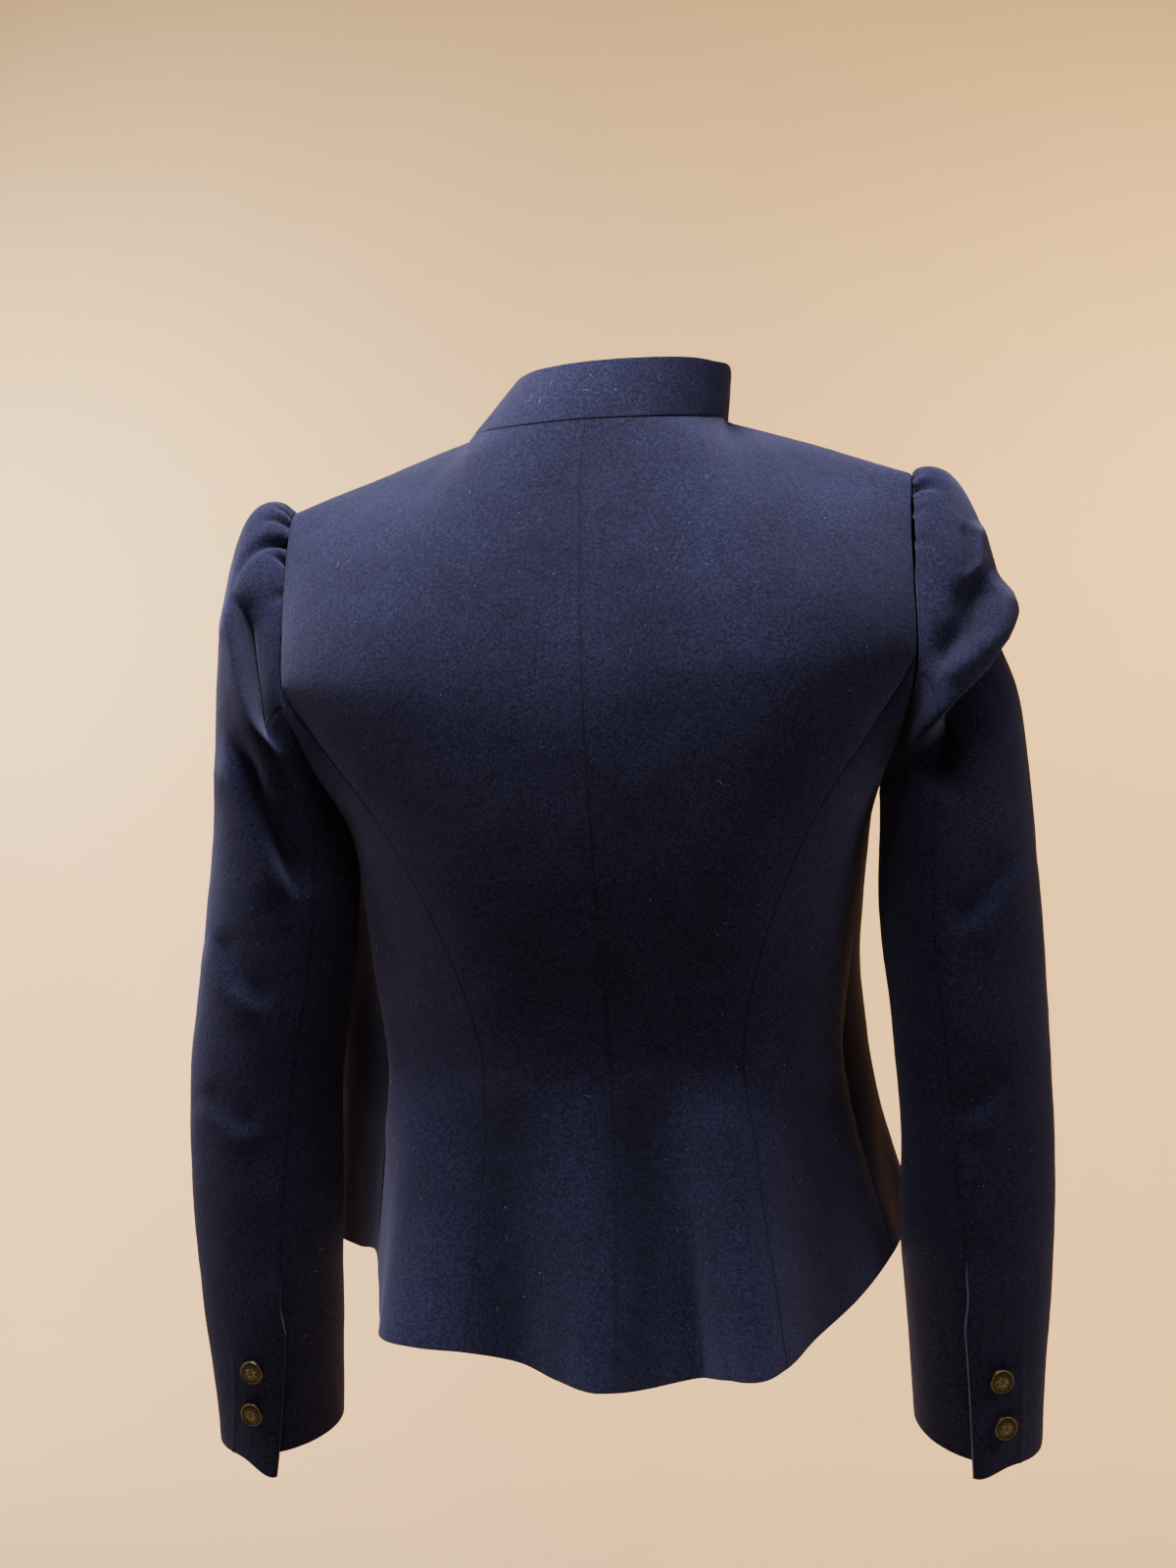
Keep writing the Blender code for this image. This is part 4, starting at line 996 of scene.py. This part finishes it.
def sleeve_grid(side, part_name):
    """A sleeve piece with its creases, tucks and flap, and the painted shade of its hollows at each point."""
    upper = part_name == "upper_sleeve"
    middle_angle = np.array([MIDDLE_ANGLE[part_name]])

    def place_line(places):
        return np.vstack([sleeve_surface(side, middle_angle, place) for place in places])

    def finer_rows(place):
        begun = smooth((place - HEAD_ROWS.start) / HEAD_ROWS.start_span)
        return 1 + HEAD_ROWS.more * begun * smooth((HEAD_ROWS.end - place) / HEAD_ROWS.end_span)

    end_place = 1 + SLEEVE_HEM - CAP_END
    places = spread(place_line, 0.0, end_place, SLEEVE_ROWS, 300, finer_rows)
    rows, painted_shades = [], []
    for place in places:
        drop = place - 1 + CAP_END
        seam = float(back_seam(side, place))
        if upper:
            overlap = FLAP_OVERLAP * float(smooth((drop - VENT_TOP) / FLAP_START)) * (place > 1)
            first, last = FRONT_SEAM, seam + overlap
        else:
            first, last = seam, FRONT_SEAM + 360
        head = float(smooth((GATHER_COLUMNS.end - place) / GATHER_COLUMNS.end_span)) * upper

        def ring_line(angle):
            return sleeve_surface(side, angle, place)

        def finer_columns(angle):
            by_gathers = smooth((GATHER_COLUMNS.start - np.abs(angle)) / GATHER_COLUMNS.start_span)
            return 1 + GATHER_COLUMNS.more * head * by_gathers

        angle = spread(ring_line, first, last, SLEEVE_COLUMNS[part_name], 90, finer_columns)
        at = np.full_like(angle, place)
        points = sleeve_surface(side, angle, at)
        normals = sleeve_normal(side, angle, at)
        length = np.linalg.norm(points - sleeve_surface(side, angle, 0 * at), axis=-1)
        push, dark = drape(side, points, normals, length)
        if upper and place <= 1:
            gather, gather_painted_shade = tucks(side, angle, length)
            push, dark = push + gather, np.maximum(dark, gather_painted_shade)
        elif upper:
            push = push + facing_push(last - angle, drop)
        points = points + normals * push[:, None]
        if upper:
            points = flap(side, angle, at, points, normals)
        rows.append(mirrored_to(points, side))
        painted_shades.append(dark)
    return np.array(rows), np.array(painted_shades)


# Materials


class Finish:
    """A node material under construction: short calls that add nodes and join them."""

    def __init__(self, name, roughness, metallic):
        self.made = bpy.data.materials.new(name)
        self.made.use_nodes = True
        self.nodes = self.made.node_tree.nodes
        self.links = self.made.node_tree.links
        self.shader = self.nodes["Principled BSDF"]
        self.shader.inputs["Roughness"].default_value = roughness
        self.shader.inputs["Metallic"].default_value = metallic
        self.place = self.nodes.new("ShaderNodeTexCoord").outputs["Object"]

    def noise(self, scale, detail=3.0, roughness=0.6, stretch=(1, 1, 1)):
        shift = self.nodes.new("ShaderNodeMapping")
        shift.inputs["Scale"].default_value = stretch
        self.links.new(self.place, shift.inputs["Vector"])
        made = self.nodes.new("ShaderNodeTexNoise")
        made.inputs["Scale"].default_value = scale
        made.inputs["Detail"].default_value = detail
        made.inputs["Roughness"].default_value = roughness
        self.links.new(shift.outputs["Vector"], made.inputs["Vector"])
        return made.outputs["Fac"]

    def ramp(self, source, low, high, dark=0.0, light=1.0):
        made = self.nodes.new("ShaderNodeMapRange")
        made.inputs["From Min"].default_value = low
        made.inputs["From Max"].default_value = high
        made.inputs["To Min"].default_value = dark
        made.inputs["To Max"].default_value = light
        self.links.new(source, made.inputs["Value"])
        return made.outputs["Result"]

    def specks(self, scale, size):
        """Small round spots, one for each cell of the size given by scale."""
        made = self.nodes.new("ShaderNodeTexVoronoi")
        made.inputs["Scale"].default_value = scale
        self.links.new(self.place, made.inputs["Vector"])
        spot = self.ramp(made.outputs["Distance"], size, size * 0.5)
        few = self.nodes.new("ShaderNodeSeparateColor")
        self.links.new(made.outputs["Color"], few.inputs["Color"])
        chosen = self.ramp(few.outputs["Red"], 0.80, 0.84)
        return self.math("MULTIPLY", spot, chosen)

    def math(self, kind, first, second):
        made = self.nodes.new("ShaderNodeMath")
        made.operation = kind
        for socket, value in zip(made.inputs, (first, second)):
            if isinstance(value, (int, float)):
                socket.default_value = value
            else:
                self.links.new(value, socket)
        return made.outputs["Value"]

    def mix(self, share, first, second):
        made = self.nodes.new("ShaderNodeMix")
        made.data_type = "RGBA"
        factor, a, b = made.inputs[0], made.inputs[6], made.inputs[7]
        for socket, value in ((factor, share), (a, first), (b, second)):
            if isinstance(value, tuple):
                socket.default_value = (*value, 1.0)
            elif isinstance(value, float):
                socket.default_value = value
            else:
                self.links.new(value, socket)
        return made.outputs[2]

    def attribute(self, name):
        made = self.nodes.new("ShaderNodeAttribute")
        made.attribute_name = name
        return made.outputs["Fac"]

    def bump(self, layers):
        """Layers of (height source, distance in metres, strength), one bump over another."""
        normal = None
        for source, distance, strength in layers:
            made = self.nodes.new("ShaderNodeBump")
            made.inputs["Distance"].default_value = distance
            made.inputs["Strength"].default_value = strength
            self.links.new(source, made.inputs["Height"])
            if normal is not None:
                self.links.new(normal, made.inputs["Normal"])
            normal = made.outputs["Normal"]
        self.links.new(normal, self.shader.inputs["Normal"])

    def colour(self, source):
        self.links.new(source, self.shader.inputs["Base Color"])


WOOL_DEEP = (0.0050, 0.0051, 0.0178)
WOOL_MAIN = (0.0186, 0.0184, 0.0575)
WOOL_FIBRE = (0.065, 0.065, 0.150)
LINT = (0.42, 0.41, 0.44)
SHEEN_TINT = (0.47, 0.46, 0.82)
NAVY_THREAD = (0.020, 0.021, 0.050)
# How much the colour darkens along sewn seams: painted shade of their grooves
PAINTED_SEAM_SHADE = 0.60


def wool():
    """Felted wool: matted fibres of a dark and a lighter navy under a short nap, with specks of lint."""
    made = Finish("navy_felted_wool", 0.96, 0.0)
    made.shader.inputs["Specular IOR Level"].default_value = 0.12
    made.shader.inputs["Sheen Weight"].default_value = 0.24
    made.shader.inputs["Sheen Roughness"].default_value = 0.55
    made.shader.inputs["Sheen Tint"].default_value = (*SHEEN_TINT, 1.0)
    matted = made.noise(520, 4.0, 0.72)
    fibres = made.noise(1300, 3.0, 0.65, (1.0, 1.0, 0.45))
    crossing = made.noise(1100, 3.0, 0.65, (0.4, 0.4, 1.0))
    cloudy = made.noise(16, 3.0, 0.55)
    base = made.mix(made.ramp(matted, 0.39, 0.63), WOOL_DEEP, WOOL_MAIN)
    light = made.math("MULTIPLY", made.ramp(fibres, 0.52, 0.74), made.ramp(crossing, 0.40, 0.66))
    base = made.mix(light, base, WOOL_FIBRE)
    shade = made.ramp(cloudy, 0.30, 0.70, 0.74, 1.16)
    # Painted shade: besides its random cloudy tone, the colour darkens along the seams and in the hollows of
    # folds, tucks and flutes
    painted_seam_shade = made.math("MULTIPLY", made.attribute("seam"), PAINTED_SEAM_SHADE)
    shade = made.math("MULTIPLY", shade, made.math("SUBTRACT", 1.0, painted_seam_shade))
    shade = made.math("MULTIPLY", shade, made.math("SUBTRACT", 1.0, made.attribute("fold")))
    toned_with_painted_shade = made.nodes.new("ShaderNodeVectorMath")
    toned_with_painted_shade.operation = "SCALE"
    made.links.new(base, toned_with_painted_shade.inputs[0])
    made.links.new(shade, toned_with_painted_shade.inputs["Scale"])
    lint = made.math("MULTIPLY", made.specks(190, 0.075), made.ramp(made.noise(30), 0.44, 0.62))
    made.colour(made.mix(lint, toned_with_painted_shade.outputs["Vector"], LINT))
    made.bump(((made.noise(240, 3.0, 0.6), 0.0007, 0.42), (matted, 0.0005, 0.60), (fibres, 0.0003, 0.45)))
    return made.made


BRASS_BRIGHT = (0.250, 0.215, 0.135)
BRASS_DARK = (0.032, 0.027, 0.019)


def brass():
    """Antique brass: bright on the raised edges, dark in the hollows, scratched a little."""
    made = Finish("antique_brass_button", 0.42, 1.0)
    raised = made.attribute("raised")
    stain = made.noise(420, 3.0, 0.6)
    tone = made.math("MULTIPLY", raised, made.ramp(stain, 0.30, 0.62, 0.45, 1.0))
    made.colour(made.mix(tone, BRASS_DARK, BRASS_BRIGHT))
    rough = made.ramp(made.noise(700, 2.0), 0.35, 0.70, 0.34, 0.60)
    made.links.new(rough, made.shader.inputs["Roughness"])
    made.bump(((made.noise(1500, 3.0), 0.0001, 0.35),))
    return made.made


def thread(name, colour):
    made = Finish(name, 0.75, 0.0)
    made.shader.inputs["Sheen Weight"].default_value = 0.3
    twist = made.noise(2400, 2.0, 0.5, (1.0, 1.0, 0.3))
    dark = tuple(0.5 * part for part in colour)
    made.colour(made.mix(made.ramp(twist, 0.35, 0.65), dark, colour))
    made.bump(((twist, 0.0002, 0.6),))
    return made.made


# Buttons

BUTTON_RADIUS = 0.0080
BUTTON_TURNS = 96
FACE_SHARES = np.linspace(0.02, 0.90, 32)
RIM_SHARES = np.linspace(0.92, 1.0, 8)
FACE_HEIGHT = 0.0047
RIM_RADIUS, RIM_DROP = 0.0079, 0.0004
BACK_RADIUS, BACK_HEIGHT = 0.0074, 0.0031
RELIEF_BASE, RELIEF_SPAN = 0.0007, 0.0006
PETALS = 8
BEADS = 28
SHANK_RADIUS = 0.0022
SHANK_TOP, SHANK_FOOT = 0.0027, 0.0004


def button_face(share, turn):
    """Height above the cloth of the button's front: a rolled rim, a dotted ring and a rosette on a dome."""
    rim = np.exp(-((share - 0.91) / 0.075) ** 2) * 0.00045
    groove = -np.exp(-((share - 0.77) / 0.035) ** 2) * 0.00022
    dome = 0.0012 * (1 - share * share)
    beads = 0.00016 * np.exp(-((share - 0.66) / 0.05) ** 2) * np.cos(turn * BEADS)
    petal_edge = 0.36 + 0.17 * np.abs(np.cos(turn * PETALS / 2))
    petal = 0.00042 * smooth((petal_edge - share) / 0.07) * smooth((share - 0.13) / 0.06)
    vein = -0.00022 * np.abs(np.sin(turn * PETALS / 2)) ** 10 * smooth((0.5 - share) / 0.1)
    eye = 0.00040 * smooth((0.12 - share) / 0.05)
    edge = -0.0011 * smooth((share - 0.93) / 0.07)
    return FACE_HEIGHT + rim + groove + dome * 0.6 + beads + petal + vein + eye + edge


def button_mesh(finish):
    """A button on its shank's foot, with an attribute that says how far its relief is raised."""
    turns = np.arange(BUTTON_TURNS) * 2 * math.pi / BUTTON_TURNS
    rings = []
    for share in np.concatenate([FACE_SHARES, RIM_SHARES]):
        height = button_face(np.full_like(turns, share), turns)
        rings.append((share * BUTTON_RADIUS, height))
    rim = rings[-1][1].mean()
    below = (
        (RIM_RADIUS, rim - RIM_DROP),
        (BACK_RADIUS, BACK_HEIGHT),
        (SHANK_RADIUS, SHANK_TOP),
        (SHANK_RADIUS, SHANK_FOOT),
    )
    for radius, height in below:
        rings.append((radius, np.full_like(turns, height)))
    points = [np.stack([r * np.cos(turns), r * np.sin(turns), z], axis=1) for r, z in rings]
    centre = button_face(np.array([0.0]), np.array([0.0]))[0]
    points = np.vstack([*points, [[0, 0, centre]], [[0, 0, SHANK_FOOT]]])
    faces = []
    for level in range(len(rings) - 1):
        for k in range(BUTTON_TURNS):
            follow = (k + 1) % BUTTON_TURNS
            a, b = level * BUTTON_TURNS + k, level * BUTTON_TURNS + follow
            faces.append((a, a + BUTTON_TURNS, b + BUTTON_TURNS, b))
    front, back = len(points) - 2, len(points) - 1
    start = (len(rings) - 1) * BUTTON_TURNS
    for k in range(BUTTON_TURNS):
        follow = (k + 1) % BUTTON_TURNS
        faces.append((front, k, follow))
        faces.append((back, start + follow, start + k))
    mesh = smooth_mesh("button", points.tolist(), faces, finish)
    share = np.hypot(points[:, 0], points[:, 1]) / BUTTON_RADIUS
    relief = points[:, 2] - (FACE_HEIGHT + RELIEF_BASE * (1 - share ** 2))
    raised = np.clip(0.30 + relief / RELIEF_SPAN, 0.03, 1.0)
    layer = mesh.attributes.new("raised", "FLOAT", "POINT")
    layer.data.foreach_set("value", raised.astype(np.float32))
    return mesh


def seated(place, normal, turn=0.0):
    """The placing of a button: its own Z along the cloth's normal."""
    normal = unit(np.asarray(normal))
    across = unit(np.cross(normal, [0.0, 0.0, 1.0]))
    upright = np.cross(across, normal)
    columns = np.column_stack([across, upright, normal])
    if np.linalg.det(columns) < 0:
        columns[:, 0] *= -1
    made = Matrix([[*row, spot] for row, spot in zip(columns.tolist(), place)] + [[0, 0, 0, 1]])
    return made @ Matrix.Rotation(math.radians(turn), 4, "Z")


def add_button(name, mesh, place, normal, turn):
    made = linked(name, mesh)
    made.matrix_world = seated(place, normal, turn)
    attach(made, BODY)
    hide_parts(name)


# The cuff buttons: drop below the nape, and how far in from the flap's edge, in degrees
CuffButton = namedtuple("CuffButton", "drop inset turn")
CUFF_BUTTONS = {
    LEFT: (CuffButton(0.571, 24, 12), CuffButton(0.597, 22, -20)),
    RIGHT: (CuffButton(0.577, 23, -8), CuffButton(0.602, 25, 17)),
}


def cuff_point(side, angle, place):
    angle = np.atleast_1d(np.asarray(angle, float))
    at = np.full_like(angle, place)
    points = sleeve_surface(side, angle, at)
    normals = sleeve_normal(side, angle, at)
    return mirrored_to(flap(side, angle, at, points, normals), side)[0]


def add_cuff_buttons(side, mesh):
    for number, row in enumerate(CUFF_BUTTONS[side], 1):
        place = 1 + row.drop - CAP_END
        angle = float(back_seam(side, place)) + FLAP_OVERLAP - row.inset
        point = cuff_point(side, angle, place)
        around = cuff_point(side, angle + 1, place) - point
        down = cuff_point(side, angle, place + SURFACE_STEP) - point
        normal = np.cross(down, around) * side
        add_button(f"cuff_button_{side_name(side)}_{number}", mesh, point, normal, row.turn)


# The front buttons and buttonholes, by their rise on the front edges
FRONT_BUTTONS = (1.46, 1.02, 0.62, 0.28, 0.0)
FRONT_BUTTON_INSET = 0.016


def front_at(side, rise, u):
    return settled(mirrored_to(front_row(side, rise, np.array([u])), side))[0]


def front_place(side, rise, inset):
    """A point and the outward, across and upward directions at that distance in from a front edge."""
    edge, inner = front_at(side, rise, 1.0), front_at(side, rise, 0.9)
    u = 1 - 0.1 * inset / np.linalg.norm(edge - inner)
    point = front_at(side, rise, u)
    across = unit(front_at(side, rise, u - 0.02) - point)
    upward = unit(front_at(side, rise + 0.03, u) - point)
    normal = unit(np.cross(across, upward) * side)
    return point, normal, across, upward


def add_front_buttons(mesh):
    for number, rise in enumerate(FRONT_BUTTONS, 1):
        point, normal, _, _ = front_place(LEFT, rise, FRONT_BUTTON_INSET)
        add_button(f"front_button_{number}", mesh, point, normal, 31 * number)


# A buttonhole: whipped thread round a slit, lying across the wearer's right front
HOLE_LENGTH = 0.019
HOLE_BAR = 0.0011
HOLE_WHIPS = 26
HOLE_TURNS = 130
HOLE_SHIFT = 0.004
HOLE_LIFT = 0.0004
HOLE_THREAD, HOLE_WHIP = 0.00062, 0.22
THREAD_SIDES = 8
TUBE_REFERENCE = (0.31, 0.22, 0.92)


def tube(points, radii, sides=THREAD_SIDES, closed=False):
    """Points and faces of a round tube along a line of points."""
    points = np.asarray(points, float)
    count = len(points)
    ahead = np.roll(points, -1, axis=0) - np.roll(points, 1, axis=0)
    if not closed:
        ahead[0], ahead[-1] = points[1] - points[0], points[-1] - points[-2]
    ahead = unit(ahead)
    first = unit(np.cross(ahead, np.array(TUBE_REFERENCE)))
    second = np.cross(ahead, first)
    turns = np.arange(sides) * 2 * math.pi / sides
    radii = np.broadcast_to(radii, (count,))[:, None, None]
    ring = np.cos(turns)[None, :, None] * first[:, None] + np.sin(turns)[None, :, None] * second[:, None]
    made = (points[:, None] + ring * radii).reshape(-1, 3)
    faces = []
    for level in range(count if closed else count - 1):
        for k in range(sides):
            follow = (k + 1) % sides
            ahead_level = (level + 1) % count
            faces.append((level * sides + k, level * sides + follow,
                          ahead_level * sides + follow, ahead_level * sides + k))
    if not closed:
        faces.append(tuple(range(sides))[::-1])
        faces.append(tuple(range((count - 1) * sides, count * sides)))
    return made, faces


def joined(parts):
    points, faces, start = [], [], 0
    for part_points, part_faces in parts:
        points.append(part_points)
        faces += [tuple(corner + start for corner in face) for face in part_faces]
        start += len(part_points)
    return np.vstack(points), faces


def poly_object(name, points, faces, finish):
    made = linked(name, smooth_mesh(name, points.tolist(), faces, finish))
    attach(made, BODY)


def buttonhole(rise):
    inset = FRONT_BUTTON_INSET + HOLE_LENGTH / 2 - HOLE_SHIFT
    point, normal, across, upward = front_place(RIGHT, rise, inset)
    turns = np.linspace(0, 2 * math.pi, HOLE_TURNS, endpoint=False)
    half = HOLE_LENGTH / 2 - HOLE_BAR
    along_slit = np.clip(np.cos(turns) * 1.25, -1, 1) * half
    beside = np.sin(turns) * HOLE_BAR
    whip = 1 + HOLE_WHIP * np.cos(turns * HOLE_WHIPS)
    line = [point + across * a + upward * b + normal * HOLE_LIFT for a, b in zip(along_slit, beside)]
    return tube(np.array(line), HOLE_THREAD * whip, closed=True)


def add_buttonholes(finish):
    points, faces = joined([buttonhole(rise) for rise in FRONT_BUTTONS])
    poly_object("buttonholes", points, faces, finish)


# Lint: short pale hairs that cling to the nap
HAIR_COUNT = 120
HAIR_RADIUS = 0.00007
HAIR_STEPS = 7
HAIR_LENGTHS = (0.0018, 0.0065)
HAIR_BENDS = (-1.8, 1.8)
HAIR_TURNS = (0, 6.28)
HAIR_LIFT, HAIR_END_LIFT = 0.00025, 0.0010


def hair(shell, i, j, length, turn, bend):
    spot, normal = shell.outer[i, j], shell.normals[i, j]
    first = unit(np.cross(normal, [0.1, 0.2, 1.0]))
    second = np.cross(normal, first)
    steps = np.linspace(-0.5, 0.5, HAIR_STEPS)
    heading = turn + bend * steps
    moves = np.cos(heading)[:, None] * first + np.sin(heading)[:, None] * second
    line = spot + np.cumsum(moves, axis=0) * length / HAIR_STEPS
    line = line - (line.mean(axis=0) - spot)
    lift = HAIR_LIFT + HAIR_END_LIFT * np.abs(steps) ** 2
    taper = HAIR_RADIUS * (1.15 - 1.2 * np.abs(steps))
    return tube(line + normal * lift[:, None], taper, sides=3)


def add_lint(shells, finish):
    draw = random.Random(7)
    hairs = []
    for _ in range(HAIR_COUNT):
        shell = draw.choice(shells)
        rows, columns = shell.grid.shape[:2]
        i, j = draw.randrange(12, rows - 12), draw.randrange(10, columns - 10)
        length = draw.uniform(*HAIR_LENGTHS)
        hairs.append(hair(shell, i, j, length, draw.uniform(*HAIR_TURNS), draw.uniform(*HAIR_BENDS)))
    points, faces = joined(hairs)
    poly_object("lint", points, faces, finish)


# Nap: very short fibres that stand off the cloth and soften its outline
NAP_LENGTH = 0.0011
NAP_WIDTH = 0.00006
NAP_ROOT = 0.0001
NAP_COUNTS = {
    "back": 9000,
    "side_back": 4500,
    "front": 9000,
    "upper_sleeve": 12000,
    "under_sleeve": 5000,
    "collar": 4000,
}


def add_nap(shell, count, finish):
    """One tapering three-point fibre for each draw, leaning mostly along the cloth."""
    draw = np.random.default_rng(len(shell.name) * 101 + count)
    rows, columns = shell.grid.shape[:2]
    area = np.linalg.norm(np.cross(
        shell.outer[1:, :-1] - shell.outer[:-1, :-1], shell.outer[:-1, 1:] - shell.outer[:-1, :-1]
    ), axis=-1).ravel()
    cells = draw.choice(area.size, count, p=area / area.sum())
    i, j = np.divmod(cells, columns - 1)
    s, t = draw.random((2, count, 1))
    corner = shell.outer[i, j]
    root = corner + (shell.outer[i + 1, j] - corner) * s + (shell.outer[i, j + 1] - corner) * t
    normal = shell.normals[i, j]
    lean = unit(np.cross(normal, draw.normal(size=(count, 3))))
    stand = draw.uniform(0.25, 0.9, (count, 1))
    length = NAP_LENGTH * draw.uniform(0.5, 1.5, (count, 1))
    tip = root + (normal * stand + lean * (1 - stand * 0.5)) * length
    wide = unit(np.cross(tip - root, normal + lean * 0.3)) * NAP_WIDTH
    root = root - normal * NAP_ROOT
    points = np.stack([root - wide, root + wide, tip], axis=1).reshape(-1, 3)
    faces = np.arange(count * 3).reshape(-1, 3)
    poly_object(f"nap_{shell.name}", points, faces.tolist(), finish)


# The flat cut of a piece before it was gathered: width, length and area, and the neighbours that hold it.
# No piece's cut is listed here. Each piece's free edges follow; its other edges are sewn.
Cut = namedtuple("Cut", "width length area held")
FREE_EDGES = {
    "back": ("first",),
    "side_back": ("first",),
    "front": ("first", "end"),
    "collar": ("last", "start", "end"),
    "upper_sleeve": ("last",),
    "under_sleeve": ("last",),
}


def add_shell(kind, node, grid, flip, finish, wall=WALL, shadow=None):
    shell = Shell(f"{node}_cloth", grid, flip, wall, FREE_EDGES[kind], shadow)
    made = shell.build(finish)
    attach(made, BODY)
    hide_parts(node)
    return shell


def add_cloth(finish):
    shells = {}
    for side in (LEFT, RIGHT):
        flip = side == LEFT
        for kind in ("back", "side_back", "front"):
            node = f"{kind}_{side_name(side)}"
            shells[node] = add_shell(kind, node, panel_grid(side, kind), flip, finish)
        for kind in ("upper_sleeve", "under_sleeve"):
            node = f"{kind}_{side_name(side)}"
            grid, shadow = sleeve_grid(side, kind)
            shells[node] = add_shell(kind, node, grid, flip, finish, shadow=shadow)
    shells["collar"] = add_shell("collar", "collar", collar_grid(), True, finish, COLLAR_WALL)
    return shells


# The stage: a pale floor that curves up into a pale wall, soft light from above, and the camera

FLOOR_LEVEL = -1.30
FLOOR_FRONT = 5.0
WALL_AWAY = 3.2
WALL_TOP = 3.0
SWEEP_RADIUS = 0.9
SWEEP_STEPS = 12
STAGE_HALF_WIDTH = 4.0
PAINT_DARK, PAINT_LIGHT = (0.700, 0.540, 0.355), (0.730, 0.560, 0.370)


def add_stage():
    """The floor under the jacket and the wall beyond it, one surface bent round a quarter circle."""
    profile = [(FLOOR_FRONT, FLOOR_LEVEL)]
    for step in range(SWEEP_STEPS + 1):
        turn = math.radians(90 * step / SWEEP_STEPS)
        profile.append((-WALL_AWAY + SWEEP_RADIUS - SWEEP_RADIUS * math.sin(turn),
                        FLOOR_LEVEL + SWEEP_RADIUS * (1 - math.cos(turn))))
    profile.append((-WALL_AWAY, WALL_TOP))
    points = [(x, y, z) for y, z in profile for x in (-STAGE_HALF_WIDTH, STAGE_HALF_WIDTH)]
    faces = [(2 * k, 2 * k + 1, 2 * k + 3, 2 * k + 2) for k in range(len(profile) - 1)]
    paint = Finish("pale_floor", 0.9, 0.0)
    plaster = paint.ramp(paint.noise(3.0, 2.0), 0.3, 0.7)
    paint.colour(paint.mix(plaster, PAINT_DARK, PAINT_LIGHT))
    made = linked("floor", smooth_mesh("floor", points, faces, paint.made))


Lamp = namedtuple("Lamp", "name place aim size power colour")
LAMPS = (
    Lamp("ceiling_light", (0.20, 0.24, 1.00), (0.0, 0.05, -0.15), 0.5, 33.0, (1.0, 0.97, 0.95)),
    Lamp("rear_ceiling_light", (0.18, 0.74, 1.08), (0.0, 0.05, -0.15), 0.6, 10.0, (1.0, 0.98, 0.97)),
    Lamp("window_side", (1.75, 0.38, 0.62), (0.2, 0.0, -0.15), 0.7, 11.0, (0.96, 0.98, 1.0)),
    Lamp("far_side", (-1.55, 0.50, 0.70), (-0.2, 0.0, -0.10), 0.7, 12.0, (1.0, 0.97, 0.93)),
    Lamp("front_light", (0.35, -1.25, 1.10), (0.0, -0.05, -0.20), 0.8, 14.0, (1.0, 0.97, 0.93)),
    Lamp("wall_light_left", (1.90, -1.90, 0.30), (0.90, -3.2, -0.55), 0.8, 84.0, (1.0, 0.83, 0.57)),
    Lamp("wall_light_right", (-1.15, -1.90, 0.30), (-0.10, -3.2, -0.55), 0.8, 70.0, (1.0, 0.68, 0.24)),
)
WORLD_COLOUR = (1.0, 0.96, 0.92)
WORLD_STRENGTH = 0.012


def add_lamps():
    for lamp in LAMPS:
        data = bpy.data.lights.new(lamp.name, "AREA")
        data.shape = "DISK"
        data.size = lamp.size
        data.energy = lamp.power
        data.color = lamp.colour
        made = linked(lamp.name, data)
        made.location = lamp.place
        aim = Vector(lamp.aim) - Vector(lamp.place)
        made.rotation_euler = aim.to_track_quat("-Z", "Y").to_euler()
    world = bpy.data.worlds.new("studio")
    bpy.context.scene.world = world
    world.use_nodes = True
    backdrop = world.node_tree.nodes["Background"]
    backdrop.inputs["Color"].default_value = (*WORLD_COLOUR, 1.0)
    backdrop.inputs["Strength"].default_value = WORLD_STRENGTH


# The camera stands behind the jacket, a little to its left and level with the shoulder blades
CAMERA_AWAY = 1.48
CAMERA_SIDE = -0.0167
CAMERA_LEVEL = -0.1786
CAMERA_YAW = 8.0
CAMERA_PITCH = -1.6
CAMERA_ROLL = 3.1
LENS = 54.0


def add_camera():
    yaw, pitch, roll = (math.radians(turn) for turn in (CAMERA_YAW, CAMERA_PITCH, CAMERA_ROLL))
    away = Vector((-math.sin(yaw), math.cos(yaw), 0.0))
    ahead = -away * math.cos(pitch) + Vector((0, 0, 1)) * math.sin(pitch)
    right = ahead.cross(Vector((0, 0, 1))).normalized()
    up = right.cross(ahead)
    place = away * CAMERA_AWAY + Vector((0, 0, CAMERA_LEVEL)) + right * CAMERA_SIDE
    across = right * math.cos(roll) - up * math.sin(roll)
    upright = right * math.sin(roll) + up * math.cos(roll)
    data = bpy.data.cameras.new("camera")
    data.lens = LENS
    made = linked("camera", data)
    turned = Matrix((across, upright, -ahead)).transposed().to_4x4()
    made.matrix_world = Matrix.Translation(place) @ turned
    bpy.context.scene.camera = made


def main():
    add_camera()
    cloth = wool()
    metal = brass()
    shells = add_cloth(cloth)
    face = button_mesh(metal)
    for side in (LEFT, RIGHT):
        add_cuff_buttons(side, face)
    add_front_buttons(face)
    add_buttonholes(thread("navy_thread", NAVY_THREAD))
    add_lint(list(shells.values()), thread("pale_lint", LINT))
    nap = thread("wool_nap", WOOL_FIBRE)
    for node, shell in shells.items():
        kind = node.removesuffix("_left").removesuffix("_right")
        add_nap(shell, NAP_COUNTS[kind], nap)
    add_stage()
    add_lamps()


main()
